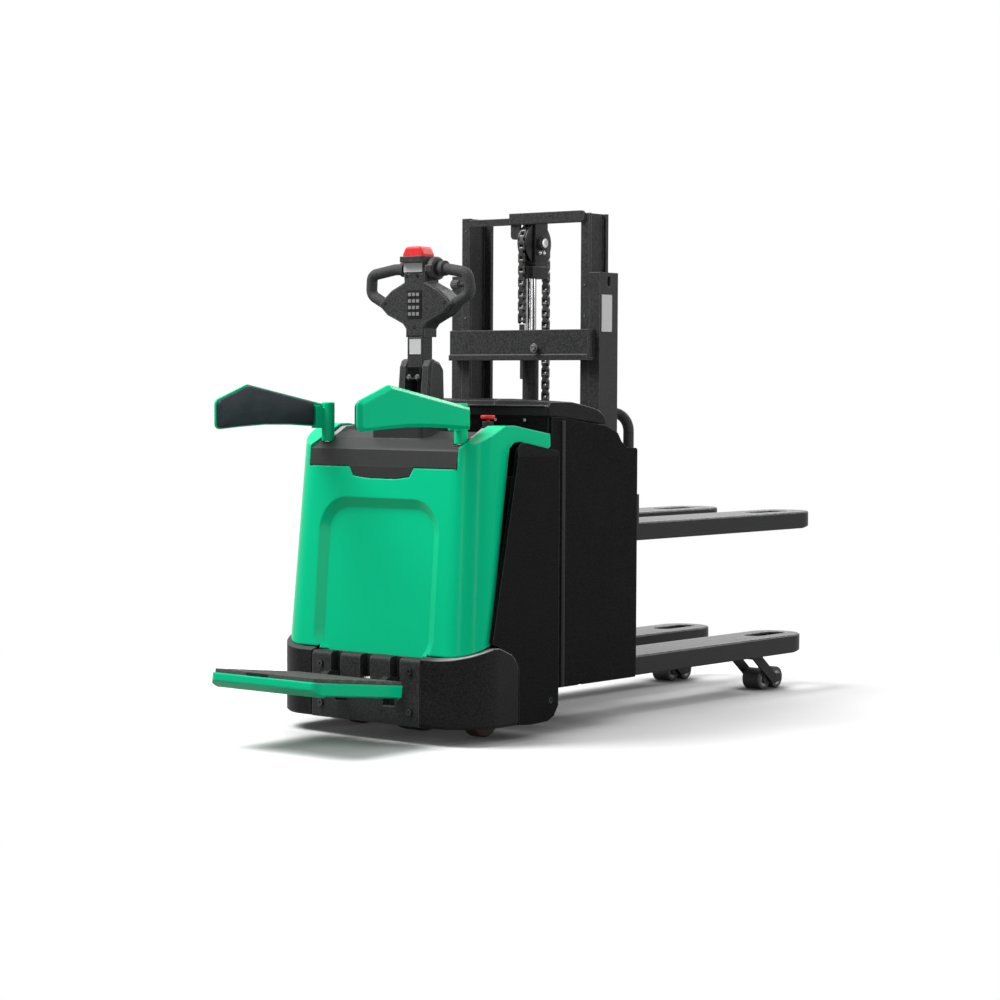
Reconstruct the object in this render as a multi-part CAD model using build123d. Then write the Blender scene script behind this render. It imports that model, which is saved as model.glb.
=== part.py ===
"""Electric ride-on double stacker: every named node of the machine as STEP solids."""
import os
from math import asin, cos, degrees, hypot, radians, sin

from build123d import *

# Frame: millimetres, X to the driver's right, Y towards the fork tips, Z up, floor at Z = 0.

# Gaps
RUN = 0.4
PIN_GAP = 0.05
SEAM = 3.0

# Whole machine
HALF_LENGTH = 1245.0
HALF_WIDTH = 400.0

# Forks: a lower pair on the lifting frame and an upper pair on the carriage
FORK_OUT = 285.0
FORK_WIDTH = 185.0
FORK_IN = FORK_OUT - FORK_WIDTH
FORK_MID = FORK_OUT - FORK_WIDTH / 2
FORK_SKIN = 8.0
FORK_TIP_ROUND = 90.0
LOW_FORK_TOP = 189.0
LOW_FORK_DEPTH = 63.0
LOW_FORK_TIP = 1196.0
UP_FORK_TOP = 615.0
UP_FORK_DEPTH = 58.0
WINDOW_WIDTH = 74.0
LOW_WINDOW = (948.0, 1154.0)
UP_WINDOW = (942.0, 1170.0)

# Load wheels in pairs on a swing arm under each lower fork
INITIAL_LIFT = 100.0
LOAD_R = 37.0
LOAD_HALF = 34.0
LOAD_SPACING = 80.0
SWING_ARM = 200.0
SWING_Z = LOW_FORK_TOP - 31.0
BOGIE_Y = 1040.0
SWING_DOWN = degrees(asin((SWING_Z - LOAD_R) / SWING_ARM))
SWING_Y = BOGIE_Y - SWING_ARM * cos(radians(SWING_DOWN))
SWING_PIN_R = 10.0
BOGIE_PIN_R = 8.0
LOAD_AXLE_R = 6.0

# Mast
MAST_FRONT = -59.0
MAST_BACK = 35.0
OUTER_X = 300.0
OUTER_LIP_X = 258.3
INNER_X = 257.5
INNER_LIP_X = 225.5
INNER_BACK_LIP_X = 208.5
INNER_WEB = (237.0, 246.0)
INNER_FRONT = -60.0
INNER_BACK = 40.0
FLANGE = 12.0
FOOT = (136.0, 160.0)
INNER_BOTTOM = 380.0
INNER_TOP = 1586.0
OUTER_TOP = INNER_TOP - 185.0
TOP_BAR = 22.0
TOP_BAR_HIGH = INNER_TOP - 6.0
TOP_BAR_BACK = -50.0
TIE = (INNER_TOP - 458.0, INNER_TOP - 362.0)
TIE_FRONT = -93.0

# Lift cylinder, pulley and leaf chain
RAM_Y = -25.0
BARREL_R = 26.0
ROD_R = 17.5
BARREL_TOP = TIE[1] - 34.0
ROD_BOTTOM = 450.0
PULLEY_Y = -9.0
PULLEY_Z = INNER_TOP - 86.0
LINK = 19.05
WRAP_LINKS = 10
PITCH_R = LINK / (2 * sin(radians(90.0 / WRAP_LINKS)))
LINK_HALF = 8.5
FRONT_LINKS = round((PULLEY_Z - TIE[1] - 28.0) / LINK)
BACK_LINKS = round((PULLEY_Z - UP_FORK_TOP - 66.0) / LINK)
AXLE_R = 11.0

# Carriage
CARRIAGE_X = 204.0
CARRIAGE_HEIGHT = 380.0
CARRIAGE_PLATE = (60.0, 74.0)
HEEL = (74.0, 176.0)
HEEL_TOP = 705.0
GUARD_X = 264.0
GUARD_Y = 145.0
GUARD_TOP = 962.0
GUARD_R = 17.0

# Power unit covers
LID_HINGE = (-104.0, 930.0)
COWL_LOW = 250.0
COWL_HIGH = 945.0
COWL_LOW_HALF = HALF_WIDTH - 15.0
COWL_HIGH_HALF = COWL_LOW_HALF - 22.0
COWL_LOW_FRONT = -781.0
COWL_HIGH_FRONT = -727.0
COWL_ROUND = 96.0
COWL_WALL = 5.0
COWL_FRONT_WALL = 24.0
PANEL_HALF = 238.0
PANEL_Z = (205.0, 712.0)
PANEL_DEPTH = COWL_FRONT_WALL - 6.0
PANEL_SLOPE = 30.0
PANEL_ROUND = 74.0
DASH_HALF = COWL_HIGH_HALF - 69.0
DASH_FACE = (803.0, 861.0)
TONGUE_DROP = 34.0
COVER_IN = HALF_WIDTH - 14.0
COVER_BACK = -387.0
SHOULDER = ((-583.0, 864.0), (-560.0, 880.0), (-530.0, 882.0), (-474.0, 872.0), (-402.0, 859.0))
BUMPER_FRONT = -808.0
BUMPER_ROUND = 140.0
BUMPER_LOW = 50.0
BUMPER_WALL = 24.0
BUMPER_BEVEL = 9.0
BUMPER_RISE = 0.2958
PLATE_HALF = 213.5
PLATE_TOP = 249.0
PLATE_BACK = -764.0
BULKHEAD = (-400.0, -392.0)
FRAME_X = (HALF_WIDTH - 56.0, HALF_WIDTH - 48.0)
DECK = (372.0, 384.0)

# Standing platform
FOLD_Y = -790.0
FOLD_Z = 176.0
FOLD_PIN_R = 8.0
FOLD_TILT = 6.3
TRAY_NEAR = 85.0
TRAY_FAR = 453.3
TRAY_TOP = -7.3
TRAY_DEPTH = 42.0
TRAY_LIP = 22.0
TRAY_ROUND = 26.0
MAT_THICK = 11.0
MAT_RIBS = 7
KNUCKLE_X = 118.0
KNUCKLE_HALF = 13.0

# Side arms
ARM_X = DASH_HALF - 29.0
ARM_Y = -685.0
ARM_POST_R = 20.0
ARM_PIN_R = 13.0
ARM_POST = (876.0, 995.0)
ARM_SHELL = (ARM_X + 11.0, ARM_X + 29.0)
ARM_PAD_X = ARM_X - 5.0
ARM_CORNER = 18.0
ARM_SHELL_END = ARM_Y + 17.0
ARM_PAD_END = -742.0

# Tiller and drive unit, both on the steering axis
STEER_Y = -564.0
PEDESTAL_HALF = 65.0
TILLER_HALF = 32.0
TILLER_DEPTH = 23.0
CHEEK_IN = TILLER_HALF + 1.5
TILLER_PIVOT_Z = 1090.0
TILLER_PIN_R = 10.0
HEAD_HIGH = TILLER_PIVOT_Z + 340.0
HEAD_LOW = HEAD_HIGH - 237.0
HEAD_FRONT = -590.0
HEAD_BACK = -530.0
GRIP_Y = -582.0
GRIP_Z = HEAD_HIGH - 32.0
GRIP_R = 17.0
THROTTLE_R = 40.0
BUTTON_HALF = 41.0
BUTTON_Y = (HEAD_FRONT - 11.0, HEAD_BACK - 18.0)
BUTTON_LOW = HEAD_HIGH - 2.0
BUTTON_PRESS = 6.0
BUTTON_WELL = BUTTON_LOW - BUTTON_PRESS - 1.0
RIM_TOP = HEAD_HIGH + 5.0
DRIVE_R = 115.0
DRIVE_HALF = 37.0
DRIVE_AXLE_R = 20.0
PLINTH_TOP = 935.0
PLINTH_FRONT = -672.0

# Casters
CASTER_X = FRAME_X[0] - 104.0
CASTER_Y = -530.0
CASTER_R = 65.0
CASTER_HALF = 22.0
CASTER_TRAIL = 30.0
STEM_R = 13.0

# Emergency stop
STOP_X = DASH_HALF - 79.0
STOP_Y = -500.0
STOP_Z = 940.0


def block(x, y, z):
    """A box between three pairs of limits."""
    size = [pair[1] - pair[0] for pair in (x, y, z)]
    mid = [(pair[0] + pair[1]) / 2 for pair in (x, y, z)]
    return Pos(*mid) * Box(*size)


def rod(axis, at, radius, length):
    """A cylinder along X, Y or Z with its middle at a point."""
    turn = {"X": Rot(0, 90, 0), "Y": Rot(90, 0, 0), "Z": Rot(0, 0, 0)}[axis]
    return Pos(*at) * turn * Cylinder(radius, length)


def side_plate(points, x_low, x_high):
    """A plate with its outline in Y and Z."""
    plane = Plane(origin=(x_low, 0, 0), x_dir=(0, 1, 0), z_dir=(1, 0, 0))
    return extrude(plane * make_face(Polyline(*points, close=True)), x_high - x_low)


def front_plate(points, y_low, y_high):
    """A plate with its outline in X and Z."""
    plane = Plane(origin=(0, y_high, 0), x_dir=(1, 0, 0), z_dir=(0, -1, 0))
    return extrude(plane * make_face(Polyline(*points, close=True)), y_high - y_low)


def other_side(shape):
    """The same piece on the left of the machine."""
    return mirror(shape, about=Plane.YZ)


def pair(shape):
    """A right-hand piece and its left-hand twin."""
    return [shape, other_side(shape)]


def long_edges(shape, axis, test):
    """Edges along an axis whose middle passes a test."""
    return [e for e in shape.edges().filter_by(axis) if test(e.center())]


def save(name, *shapes):
    """Write one node, made of every solid that is given."""
    solids = [s for shape in shapes for s in shape.solids()]
    whole = solids[0] if len(solids) == 1 else Compound(children=solids)
    export_step(whole, os.path.join("parts", name + ".step"))


def fork_blade(root, tip, top, depth, window):
    """An inverted channel with a rounded tip and a slot through its top."""
    low = top - depth
    blade = block((FORK_IN, FORK_OUT), (root, tip), (low, top))
    corners = long_edges(blade, Axis.Z, lambda c: c.Y > tip - 1)
    blade = fillet(corners, FORK_TIP_ROUND)
    wedge = [
        (tip - 110, low - 1), (tip + 1, low - 1), (tip + 1, low + depth * 0.5),
        (tip - 45, low + depth * 0.14),
    ]
    blade -= side_plate(wedge, FORK_IN - 1, FORK_OUT + 1)
    hollow = block(
        (FORK_IN + FORK_SKIN, FORK_OUT - FORK_SKIN),
        (root - 1, tip - 14),
        (low - 1, top - FORK_SKIN),
    )
    blade -= fillet(long_edges(hollow, Axis.Z, lambda c: c.Y > root), FORK_TIP_ROUND - 14)
    rims = long_edges(blade, Axis.Y, lambda c: c.Z > top - 1)
    blade = chamfer(rims, 4)
    slot = Pos(FORK_MID, sum(window) / 2, top - FORK_SKIN - 1) * Rot(0, 0, 90)
    slot *= SlotOverall(window[1] - window[0], WINDOW_WIDTH)
    return blade - extrude(slot, FORK_SKIN + 2)


def lower_fork():
    """Lower right fork with the swing-arm pin across it."""
    blade = fork_blade(MAST_BACK, LOW_FORK_TIP, LOW_FORK_TOP, LOW_FORK_DEPTH, LOW_WINDOW)
    pin = rod("X", (FORK_MID, SWING_Y, SWING_Z), SWING_PIN_R, FORK_WIDTH - FORK_SKIN)
    return blade + pin


def upper_fork():
    """Upper right fork with its hollow heel box."""
    low = UP_FORK_TOP - UP_FORK_DEPTH
    blade = fork_blade(HEEL[0], HALF_LENGTH, UP_FORK_TOP, UP_FORK_DEPTH, UP_WINDOW)
    heel = block((FORK_IN, FORK_OUT), HEEL, (low, HEEL_TOP))
    wall = 12.0
    heel -= block(
        (FORK_IN + wall, FORK_OUT - wall), (HEEL[0] - 1, HEEL[1] - wall), (low - 1, HEEL_TOP - wall)
    )
    return blade + heel


def swing_arm():
    """Two link plates and a cross tube that hold a pair of load wheels down."""
    plate_in = LOAD_HALF + 9.0
    plate_out = plate_in + 8.0
    link = Rot(0, 90, 0) * Rot(0, 0, 90) * Pos(SWING_ARM / 2, 0, 0)
    outline = link * SlotCenterToCenter(SWING_ARM, 36)
    plate = Pos(plate_in, 0, 0) * extrude(outline, plate_out - plate_in)
    start = LOAD_HALF + 2.5
    stub = rod("X", ((plate_out + start) / 2, SWING_ARM, 0), BOGIE_PIN_R, plate_out - start)
    arm = plate + stub
    arm += other_side(arm)
    arm += rod("X", (0, 62, 0), 11, 2 * plate_in)
    arm -= rod("X", (0, 0, 0), SWING_PIN_R + PIN_GAP, 200)
    return Pos(FORK_MID, SWING_Y, SWING_Z) * Rot(-SWING_DOWN, 0, 0) * arm


def bogie():
    """The rocker that holds two load wheels and their axles."""
    inner = LOAD_HALF + 2.0
    outer = inner + 6.0
    outline = Rot(0, 90, 0) * Rot(0, 0, 90) * SlotCenterToCenter(LOAD_SPACING, 30)
    plate = Pos(inner, 0, 0) * extrude(outline, outer - inner)
    plate -= rod("X", (0, 0, 0), BOGIE_PIN_R + PIN_GAP, 200)
    frame = plate + other_side(plate)
    for y in (-LOAD_SPACING / 2, LOAD_SPACING / 2):
        frame += rod("X", (0, y, 0), LOAD_AXLE_R, 2 * outer + 1)
    return Pos(FORK_MID, BOGIE_Y, LOAD_R) * frame


def load_wheel(y):
    """A tread with rounded shoulders on a bored hub."""
    wheel = rod("X", (0, 0, 0), LOAD_R, 2 * LOAD_HALF)
    wheel = fillet(wheel.edges(), 5)
    ring = rod("X", (LOAD_HALF, 0, 0), 24, 6) - rod("X", (LOAD_HALF, 0, 0), 13, 7)
    wheel -= ring
    wheel -= other_side(ring)
    wheel -= rod("X", (0, 0, 0), LOAD_AXLE_R + PIN_GAP, 200)
    return Pos(FORK_MID, y, LOAD_R) * wheel


def outer_rail():
    """Right outer mast channel, open towards the inside."""
    high = (FOOT[1], OUTER_TOP)
    rail = block((OUTER_LIP_X, OUTER_X), (MAST_FRONT, MAST_BACK), high)
    inside = (MAST_FRONT + FLANGE, MAST_BACK - FLANGE)
    rail -= block((OUTER_LIP_X - 1, OUTER_X - 8), inside, (FOOT[1] - 1, OUTER_TOP + 1))
    slot = Pos(OUTER_X, -12, OUTER_TOP - 28) * Rot(0, 90, 0) * SlotOverall(34, 18)
    return rail - extrude(slot, 20, both=True)


def mast_ties():
    """Foot plate under the rails and the cross tie near their tops."""
    foot = block((-FRAME_X[1], FRAME_X[1]), (-116, MAST_BACK), FOOT)
    back = INNER_FRONT - 1.0
    half = 280.0
    tie = block((-half, half), (TIE_FRONT, back), TIE)
    tie -= block((-half - 1, half + 1), (TIE_FRONT + 8, back + 1), (TIE[0] + 8, TIE[1] - 8))
    tie += block((-half, half), (TIE_FRONT - 6, TIE_FRONT), (TIE[0], TIE[0] + 18))
    lug = block((-20, 20), (TIE_FRONT + 4, PULLEY_Y - PITCH_R + 14), (TIE[1] - 20, TIE[1]))
    tie += lug
    tie -= rod("Z", (0, PULLEY_Y - PITCH_R, TIE[1]), 6.5, 300)
    for x in (1, -1):
        tie += block(sorted((x * 264, x * 278)), (TIE_FRONT + 4, MAST_FRONT), (TIE[0] + 8, TIE[1] - 8))
    tie += rod("Y", (78, TIE_FRONT - 6, TIE[0] + 38), 9, 18)
    return [foot, tie]


def chain_anchor():
    """Threaded rod, nuts and clevis that hold the chain's fixed end."""
    y = PULLEY_Y - PITCH_R
    top = PULLEY_Z - FRONT_LINKS * LINK
    low = TIE[0] - 56
    screw = rod("Z", (0, y, (low + TIE[1]) / 2), 6, TIE[1] - low + 6)
    nuts = extrude(Pos(0, y, TIE[1] - 42) * RegularPolygon(11, 6), 10)
    nuts += extrude(Pos(0, y, TIE[1] - 54) * RegularPolygon(11, 6), 10)
    clevis = block((-5, 5), (y - 8, y + 8), (TIE[1] + 0.5, top - 10))
    return screw + nuts + clevis


def lift_cylinder():
    """Ram barrel with its foot and gland."""
    floor = FOOT[1]
    tube = rod("Z", (0, RAM_Y, (floor + BARREL_TOP) / 2), BARREL_R, BARREL_TOP - floor)
    tube += rod("Z", (0, RAM_Y, BARREL_TOP - 16), BARREL_R + 4, 32)
    tube += block((-44, 44), (RAM_Y - 30, RAM_Y + 30), (floor, floor + 14))
    bore = rod("Z", (0, RAM_Y, (floor + 30 + BARREL_TOP + 1) / 2), ROD_R + RUN, BARREL_TOP + 1 - floor - 30)
    return tube - bore


def inner_rail():
    """Right inner mast beam."""
    top = INNER_TOP
    beam = block((INNER_LIP_X, INNER_X), (INNER_FRONT, INNER_BACK), (INNER_BOTTOM, top))
    inside = (INNER_FRONT + FLANGE, INNER_BACK - FLANGE)
    beam -= block((INNER_LIP_X - 1, INNER_WEB[0]), inside, (INNER_BOTTOM - 1, top + 1))
    beam -= block((INNER_WEB[1], INNER_X + 1), inside, (INNER_BOTTOM - 1, top + 1))
    lip = (INNER_BACK_LIP_X, INNER_LIP_X + 1)
    return beam + block(lip, (INNER_BACK - FLANGE, INNER_BACK), (INNER_BOTTOM, top))


def inner_bars():
    """Top bar with its bridge plate, and the low tie of the inner mast."""
    top = (TOP_BAR_HIGH - TOP_BAR, TOP_BAR_HIGH)
    bar = block((-INNER_LIP_X, INNER_LIP_X), (INNER_FRONT, TOP_BAR_BACK), top)
    bar += block((-30, 30), (INNER_FRONT - 4, PULLEY_Y + 30), (TOP_BAR_HIGH, INNER_TOP + 8))
    brow = block((-56, INNER_X - 14), (INNER_FRONT - 8, INNER_FRONT), (INNER_TOP - 26, INNER_TOP + 8))
    bar += fillet(long_edges(brow, Axis.Y, lambda c: c.X > 0), 12)
    ear = block((-56, -20), (INNER_FRONT, TOP_BAR_BACK), (INNER_TOP - 74, top[0] + 1))
    bar += fillet(long_edges(ear, Axis.Y, lambda c: c.X < -50 and c.Z < top[0]), 14)
    low = (INNER_BOTTOM + 20, INNER_BOTTOM + 80)
    tie = block((-INNER_X, INNER_X), (-86, -74), low)
    for x in (1, -1):
        tie += block(sorted((x * INNER_LIP_X, x * INNER_X)), (-76, INNER_FRONT), low)
    return [bar, tie]


def piston_rod():
    """Chromed ram rod."""
    top = PULLEY_Z - 112
    return rod("Z", (0, RAM_Y, (ROD_BOTTOM + top) / 2), ROD_R, top - ROD_BOTTOM)


def chain_yoke():
    """Head block on the rod with two cheeks, the pulley axle and its caps."""
    low = PULLEY_Z - 112
    head = block((-28, 28), (RAM_Y - 23, PULLEY_Y + 36), (low, low + 38))
    cheek = block((18, 26), (PULLEY_Y - 26, PULLEY_Y + 36), (low + 38, TOP_BAR_HIGH))
    head += cheek + other_side(cheek)
    head += rod("X", (0, PULLEY_Y, PULLEY_Z), AXLE_R, 80)
    cap = rod("X", (30, PULLEY_Y, PULLEY_Z), 15, 8)
    cap += rod("X", (38, PULLEY_Y, PULLEY_Z), 21, 8)
    keeper = block((26, 32), (PULLEY_Y - 18, PULLEY_Y + 18), (PULLEY_Z - 36, PULLEY_Z - 24))
    return head + cap + other_side(cap) + keeper


def chain_pulley():
    """Grooved sheave that the chain runs over."""
    root = PITCH_R - LINK_HALF - RUN
    wheel = rod("X", (0, PULLEY_Y, PULLEY_Z), root, 33)
    for x in (-15, 15):
        wheel += rod("X", (x, PULLEY_Y, PULLEY_Z), PITCH_R + 5, 3)
    return wheel - rod("X", (0, PULLEY_Y, PULLEY_Z), AXLE_R + PIN_GAP, 200)


def chain_link(outer):
    """One leaf-chain link along Z, with pins if it is an outer one."""
    flat = Plane(origin=(0, 0, 0), x_dir=(0, 0, 1), z_dir=(1, 0, 0))
    shape = flat * Pos(LINK / 2, 0) * SlotCenterToCenter(LINK, 2 * LINK_HALF - 1)
    if outer:
        plates = Pos(8, 0, 0) * extrude(shape, 3)
        plates += other_side(plates)
        for z in (0, LINK):
            plates += rod("X", (0, 0, z), 3.5, 24)
        return plates
    plates = Pos(-7.6, 0, 0) * extrude(shape, 15.2)
    for z in (0, LINK):
        plates -= rod("X", (0, 0, z), 3.6, 40)
    return plates


def chain_runs():
    """Links up from the anchor and over the pulley, then links down to the carriage."""
    links = {True: chain_link(True), False: chain_link(False)}
    front, back = [], []
    count = 0
    for i in range(FRONT_LINKS):
        at = Pos(0, PULLEY_Y - PITCH_R, PULLEY_Z - (FRONT_LINKS - i) * LINK)
        front.append(at * links[count % 2 == 0])
        count += 1
    step = 180.0 / WRAP_LINKS
    for i in range(WRAP_LINKS):
        a = radians(180.0 - i * step)
        at = Pos(0, PULLEY_Y + PITCH_R * cos(a), PULLEY_Z + PITCH_R * sin(a))
        lean = -(i + 0.5) * step
        front.append(at * Rot(lean, 0, 0) * links[count % 2 == 0])
        count += 1
    for i in range(BACK_LINKS):
        at = Pos(0, PULLEY_Y + PITCH_R, PULLEY_Z - (i + 1) * LINK)
        back.append(at * links[count % 2 == 0])
        count += 1
    return front, back


def carriage_frame():
    """Roller plates in the inner mast, joined by the plate that the forks hang on."""
    low = UP_FORK_TOP - UP_FORK_DEPTH + 3
    high = CARRIAGE_HEIGHT
    plate = block((CARRIAGE_X - 12, CARRIAGE_X), (INNER_FRONT + 14, CARRIAGE_PLATE[0]), (low, low + high))
    rollers = []
    for z in (low + 55, low + high - 55):
        plate += rod("X", (CARRIAGE_X + 8, -10, z), 14, 18)
        ring = rod("X", ((CARRIAGE_X + 2 + INNER_WEB[0]) / 2, -10, z), 36.5, INNER_WEB[0] - CARRIAGE_X - 4)
        rollers.append(ring - rod("X", (CARRIAGE_X + 8, -10, z), 14.1, 80))
    sides = pair(plate)
    cross = block((-FORK_OUT, FORK_OUT), CARRIAGE_PLATE, (low, HEEL_TOP - 5))
    bar = block((-CARRIAGE_X, CARRIAGE_X), CARRIAGE_PLATE, (low + high - 90, low + high))
    y = PULLEY_Y + PITCH_R
    end = PULLEY_Z - BACK_LINKS * LINK
    lug = block((-7, 7), (y - 7, CARRIAGE_PLATE[0]), (end - 70, end - 10))
    return sides + [cross, bar, lug] + [r for ring in rollers for r in pair(ring)]


def load_guard():
    """Bent tube above the upper fork heels."""
    path = FilletPolyline(
        (-GUARD_X, GUARD_Y, HEEL_TOP),
        (-GUARD_X, GUARD_Y, GUARD_TOP),
        (GUARD_X, GUARD_Y, GUARD_TOP),
        (GUARD_X, GUARD_Y, HEEL_TOP),
        radius=58,
    )
    return sweep(Plane(origin=path @ 0, z_dir=path % 0) * Circle(GUARD_R), path=path)


def side_panel():
    """Right side plate of the lifting frame."""
    points = [
        (-374, FOOT[0]), (62, FOOT[0]), (62, 855), (3, 858), (-23, 878), (-41, 903),
        (-104, 926), (-335, 953), (-374, 955),
    ]
    plate = side_plate(points, FRAME_X[1], FRAME_X[1] + 8)
    plate -= block((300, 400), (-236, -214), (FOOT[0] - 1, FOOT[0] + 9))
    return fillet(long_edges(plate, Axis.X, lambda c: c.Y > 60), 10)


def battery_box():
    """Front wall, floor and back wall of the battery bay."""
    x = (-FRAME_X[1], FRAME_X[1])
    front = block(x, (-382, -374), (FOOT[0], 955))
    floor = block(x, (-374, -126), (FOOT[0], FOOT[0] + 10))
    back = block(x, (-126, -118), (FOOT[0], 918))
    return [front, floor, back]


def battery_pack():
    """Battery case with two lifting bars."""
    half = FRAME_X[0] - 14
    case = block((-half, half), (-364, -136), (FOOT[0] + 10, 840))
    case = fillet(case.edges().filter_by(Axis.Z), 8)
    for x in (-250, 250):
        case += block((x - 12, x + 12), (-330, -170), (840, 862))
    return case


def hood_lid():
    """Crowned lid over the battery bay, hollow underneath."""
    outline = [
        (-386, 957), (-386, 986), (-372, 1003), (-335, 1008), (-231, 993), (-160, 980),
        (-130, 971), (-109, 957), (-101, 942), (-101, 931), (-335, 955),
    ]
    half = FRAME_X[1] + 4
    lid = side_plate(outline, -half, half)
    crown = 5200.0
    lid &= rod("Y", (0, -250, 1011 - crown), crown, 600)
    inside = [
        (-374, 900), (-374, 985), (-335, 998), (-231, 983), (-160, 970), (-137, 963), (-118, 947),
        (-118, 900),
    ]
    lid -= side_plate(inside, -half + 8, half - 8)
    for x in (-142, 142):
        lid -= block((x - 1.5, x + 1.5), (-400, -90), (990, 1030))
    for x in (-230, 230):
        lid += rod("X", (x, LID_HINGE[0], LID_HINGE[1]), 6, 70)
    return lid


def chassis_frame():
    """Welded plates of the power unit."""
    x = (-FRAME_X[1], FRAME_X[1])
    deck = block((-FRAME_X[0], FRAME_X[0]), (-640, BULKHEAD[0]), DECK)
    deck += block((-215, 215), (-735, -639), DECK)
    deck -= rod("Z", (0, STEER_Y, DECK[0]), 112, 100)
    bulkhead = block(x, BULKHEAD, (60, 850))
    front = block((-215, 215), (PLATE_BACK, PLATE_BACK + 8), (60, 240))
    shelf = block((-215, 215), (PLATE_BACK + 8, -700), (228, 240))
    parts = [deck, bulkhead, front, shelf]
    side = block(FRAME_X, (-640, BULKHEAD[0]), (60, 780))
    rib = block((180, 192), (-735, -700), (240, DECK[0]))
    bracket = block((CASTER_X - 44, FRAME_X[0]), (-600, -460), (166, 182))
    bracket -= rod("Z", (CASTER_X, CASTER_Y, 174), STEM_R + PIN_GAP, 100)
    for piece in (side, rib, bracket):
        parts += pair(piece)
    return parts


def cowl_form(inset, front_inset, low, high):
    """Leaning cover form with round corners, between two heights."""
    sections = []
    for z in (low, high):
        t = (z - COWL_LOW) / (COWL_HIGH - COWL_LOW)
        half = COWL_LOW_HALF + t * (COWL_HIGH_HALF - COWL_LOW_HALF) - inset
        front = COWL_LOW_FRONT + t * (COWL_HIGH_FRONT - COWL_LOW_FRONT) + front_inset
        back = -300.0
        outline = RectangleRounded(2 * half, back - front, COWL_ROUND - inset)
        sections.append(Pos(0, (front + back) / 2, z) * outline)
    return loft(sections)


def cowl_top(drop):
    """Everything above the cover's shoulder line, lowered by a drop."""
    line = [(-900, 861), (-738, 861), (-690, 884), (-644, 908), (-596, 929), (-560, 930), (-380, 903)]
    points = [(y, z - drop) for y, z in line] + [(-200, 903 - drop), (-200, 1300), (-900, 1300)]
    return side_plate(points, -500, 500)


def dash_tongue(inset):
    """Curved middle of the dash's lower edge, from left to right."""
    low = DASH_FACE[0]
    deep = low - TONGUE_DROP + inset
    right = [(128 - inset, low), (113 - inset, deep + TONGUE_DROP * 0.2), (60, deep)]
    return [(-x, z) for x, z in right] + list(reversed(right))


def front_cowl():
    """Moulded front cover with shoulders, a recessed front panel and an open top for the dash."""
    shell = cowl_form(0, 0, COWL_LOW - 15, COWL_HIGH) - cowl_top(0)
    inside = cowl_form(COWL_WALL, COWL_FRONT_WALL, COWL_LOW - 20, COWL_HIGH + 20) - cowl_top(COWL_WALL)
    shell -= inside
    gap = [
        (-702, 200), (-689, 294), *SHOULDER, (COVER_BACK, 866), (COVER_BACK, 1200), (-200, 1200),
        (-200, 200),
    ]
    shell -= side_plate(gap, -500, 500)
    hem = [(-900, 218), (-780, 258), (-689, 292), (-600, 326), (-600, 100), (-900, 100)]
    low = side_plate(hem, PLATE_HALF, 500)
    shell -= low
    shell -= other_side(low)
    behind = PLATE_BACK + 0.5
    high = PLATE_TOP + SEAM
    apron = [(-900, high), (behind, high), (behind, high - 10), (-600, high - 10), (-600, 100), (-900, 100)]
    shell -= side_plate(apron, -PLATE_HALF - 1, PLATE_HALF + 1)
    opening = [
        (-DASH_HALF, 1200), (-DASH_HALF, DASH_FACE[0]), *dash_tongue(0), (DASH_HALF, DASH_FACE[0]),
        (DASH_HALF, 1200),
    ]
    shell -= front_plate(opening, -900, -200)
    return shell - front_panel()


def front_panel():
    """Hollow in the leaning front: a rounded panel with sloped sides that runs out below the cover."""
    rise = COWL_HIGH - COWL_LOW
    lean = COWL_HIGH_FRONT - COWL_LOW_FRONT
    size = hypot(rise, lean)
    out_way = (0, -rise / size, lean / size)
    front = Plane(origin=(0, COWL_LOW_FRONT, COWL_LOW), x_dir=(1, 0, 0), z_dir=out_way)
    low, high = [(z - COWL_LOW) * size / rise for z in PANEL_Z]
    sections = []
    for out in (-PANEL_DEPTH, 2.0):
        grow = out * PANEL_SLOPE / PANEL_DEPTH
        width = 2 * (PANEL_HALF + grow)
        outline = RectangleRounded(width, high - low + 2 * grow, PANEL_ROUND + PANEL_SLOPE + grow)
        sections.append(front * Pos(0, (low + high) / 2, out) * outline)
    return loft(sections, ruled=True)


def dash_panel():
    """Instrument top between the shoulders, with its front apron and the tiller plinth."""
    low, high = DASH_FACE
    half = DASH_HALF - 2
    section = [
        (-739, low + 2), (-729, high - 5), (-722, high), (-672, high + 27), (-600, high + 49),
        (-480, high + 46), (-403, high + 38), (-403, high + 30), (-482, high + 36), (-600, high + 38),
        (-668, high + 6), (-714, high - 10), (-722, low + 2),
    ]
    dash = side_plate(section, -half, half)
    tongue = [(-126, low + 3)] + dash_tongue(2) + [(126, low + 3)]
    dash += front_plate(tongue, -739, -722)
    plinth = block((-101, 101), (PLINTH_FRONT, -470), (high + 16, PLINTH_TOP))
    plinth = fillet(plinth.edges().filter_by(Axis.Z), 16)
    plinth = chamfer(plinth.faces().sort_by(Axis.Z)[-1].edges(), 6)
    dash += plinth
    trim = [(-650, high + 30), (-596, high + 60), (-560, high + 62), (-403, high + 40), (-403, high + 34)]
    strip = side_plate(trim, half - 22, half)
    dash += strip + other_side(strip)
    dash -= rod("Z", (0, STEER_Y, PLINTH_TOP), 34, 300)
    for x in (-ARM_X, ARM_X):
        dash += rod("Z", (x, ARM_Y, high - 2), ARM_POST_R + 6, 26)
        dash -= rod("Z", (x, ARM_Y, ARM_POST[0] + 28), ARM_POST_R + 4, 60)
        dash -= rod("Z", (x, ARM_Y, high), ARM_PIN_R + 0.02, 90)
    dash -= rod("Z", (STOP_X, STOP_Y, high + 40), 11.02, 80)
    return dash


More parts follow.
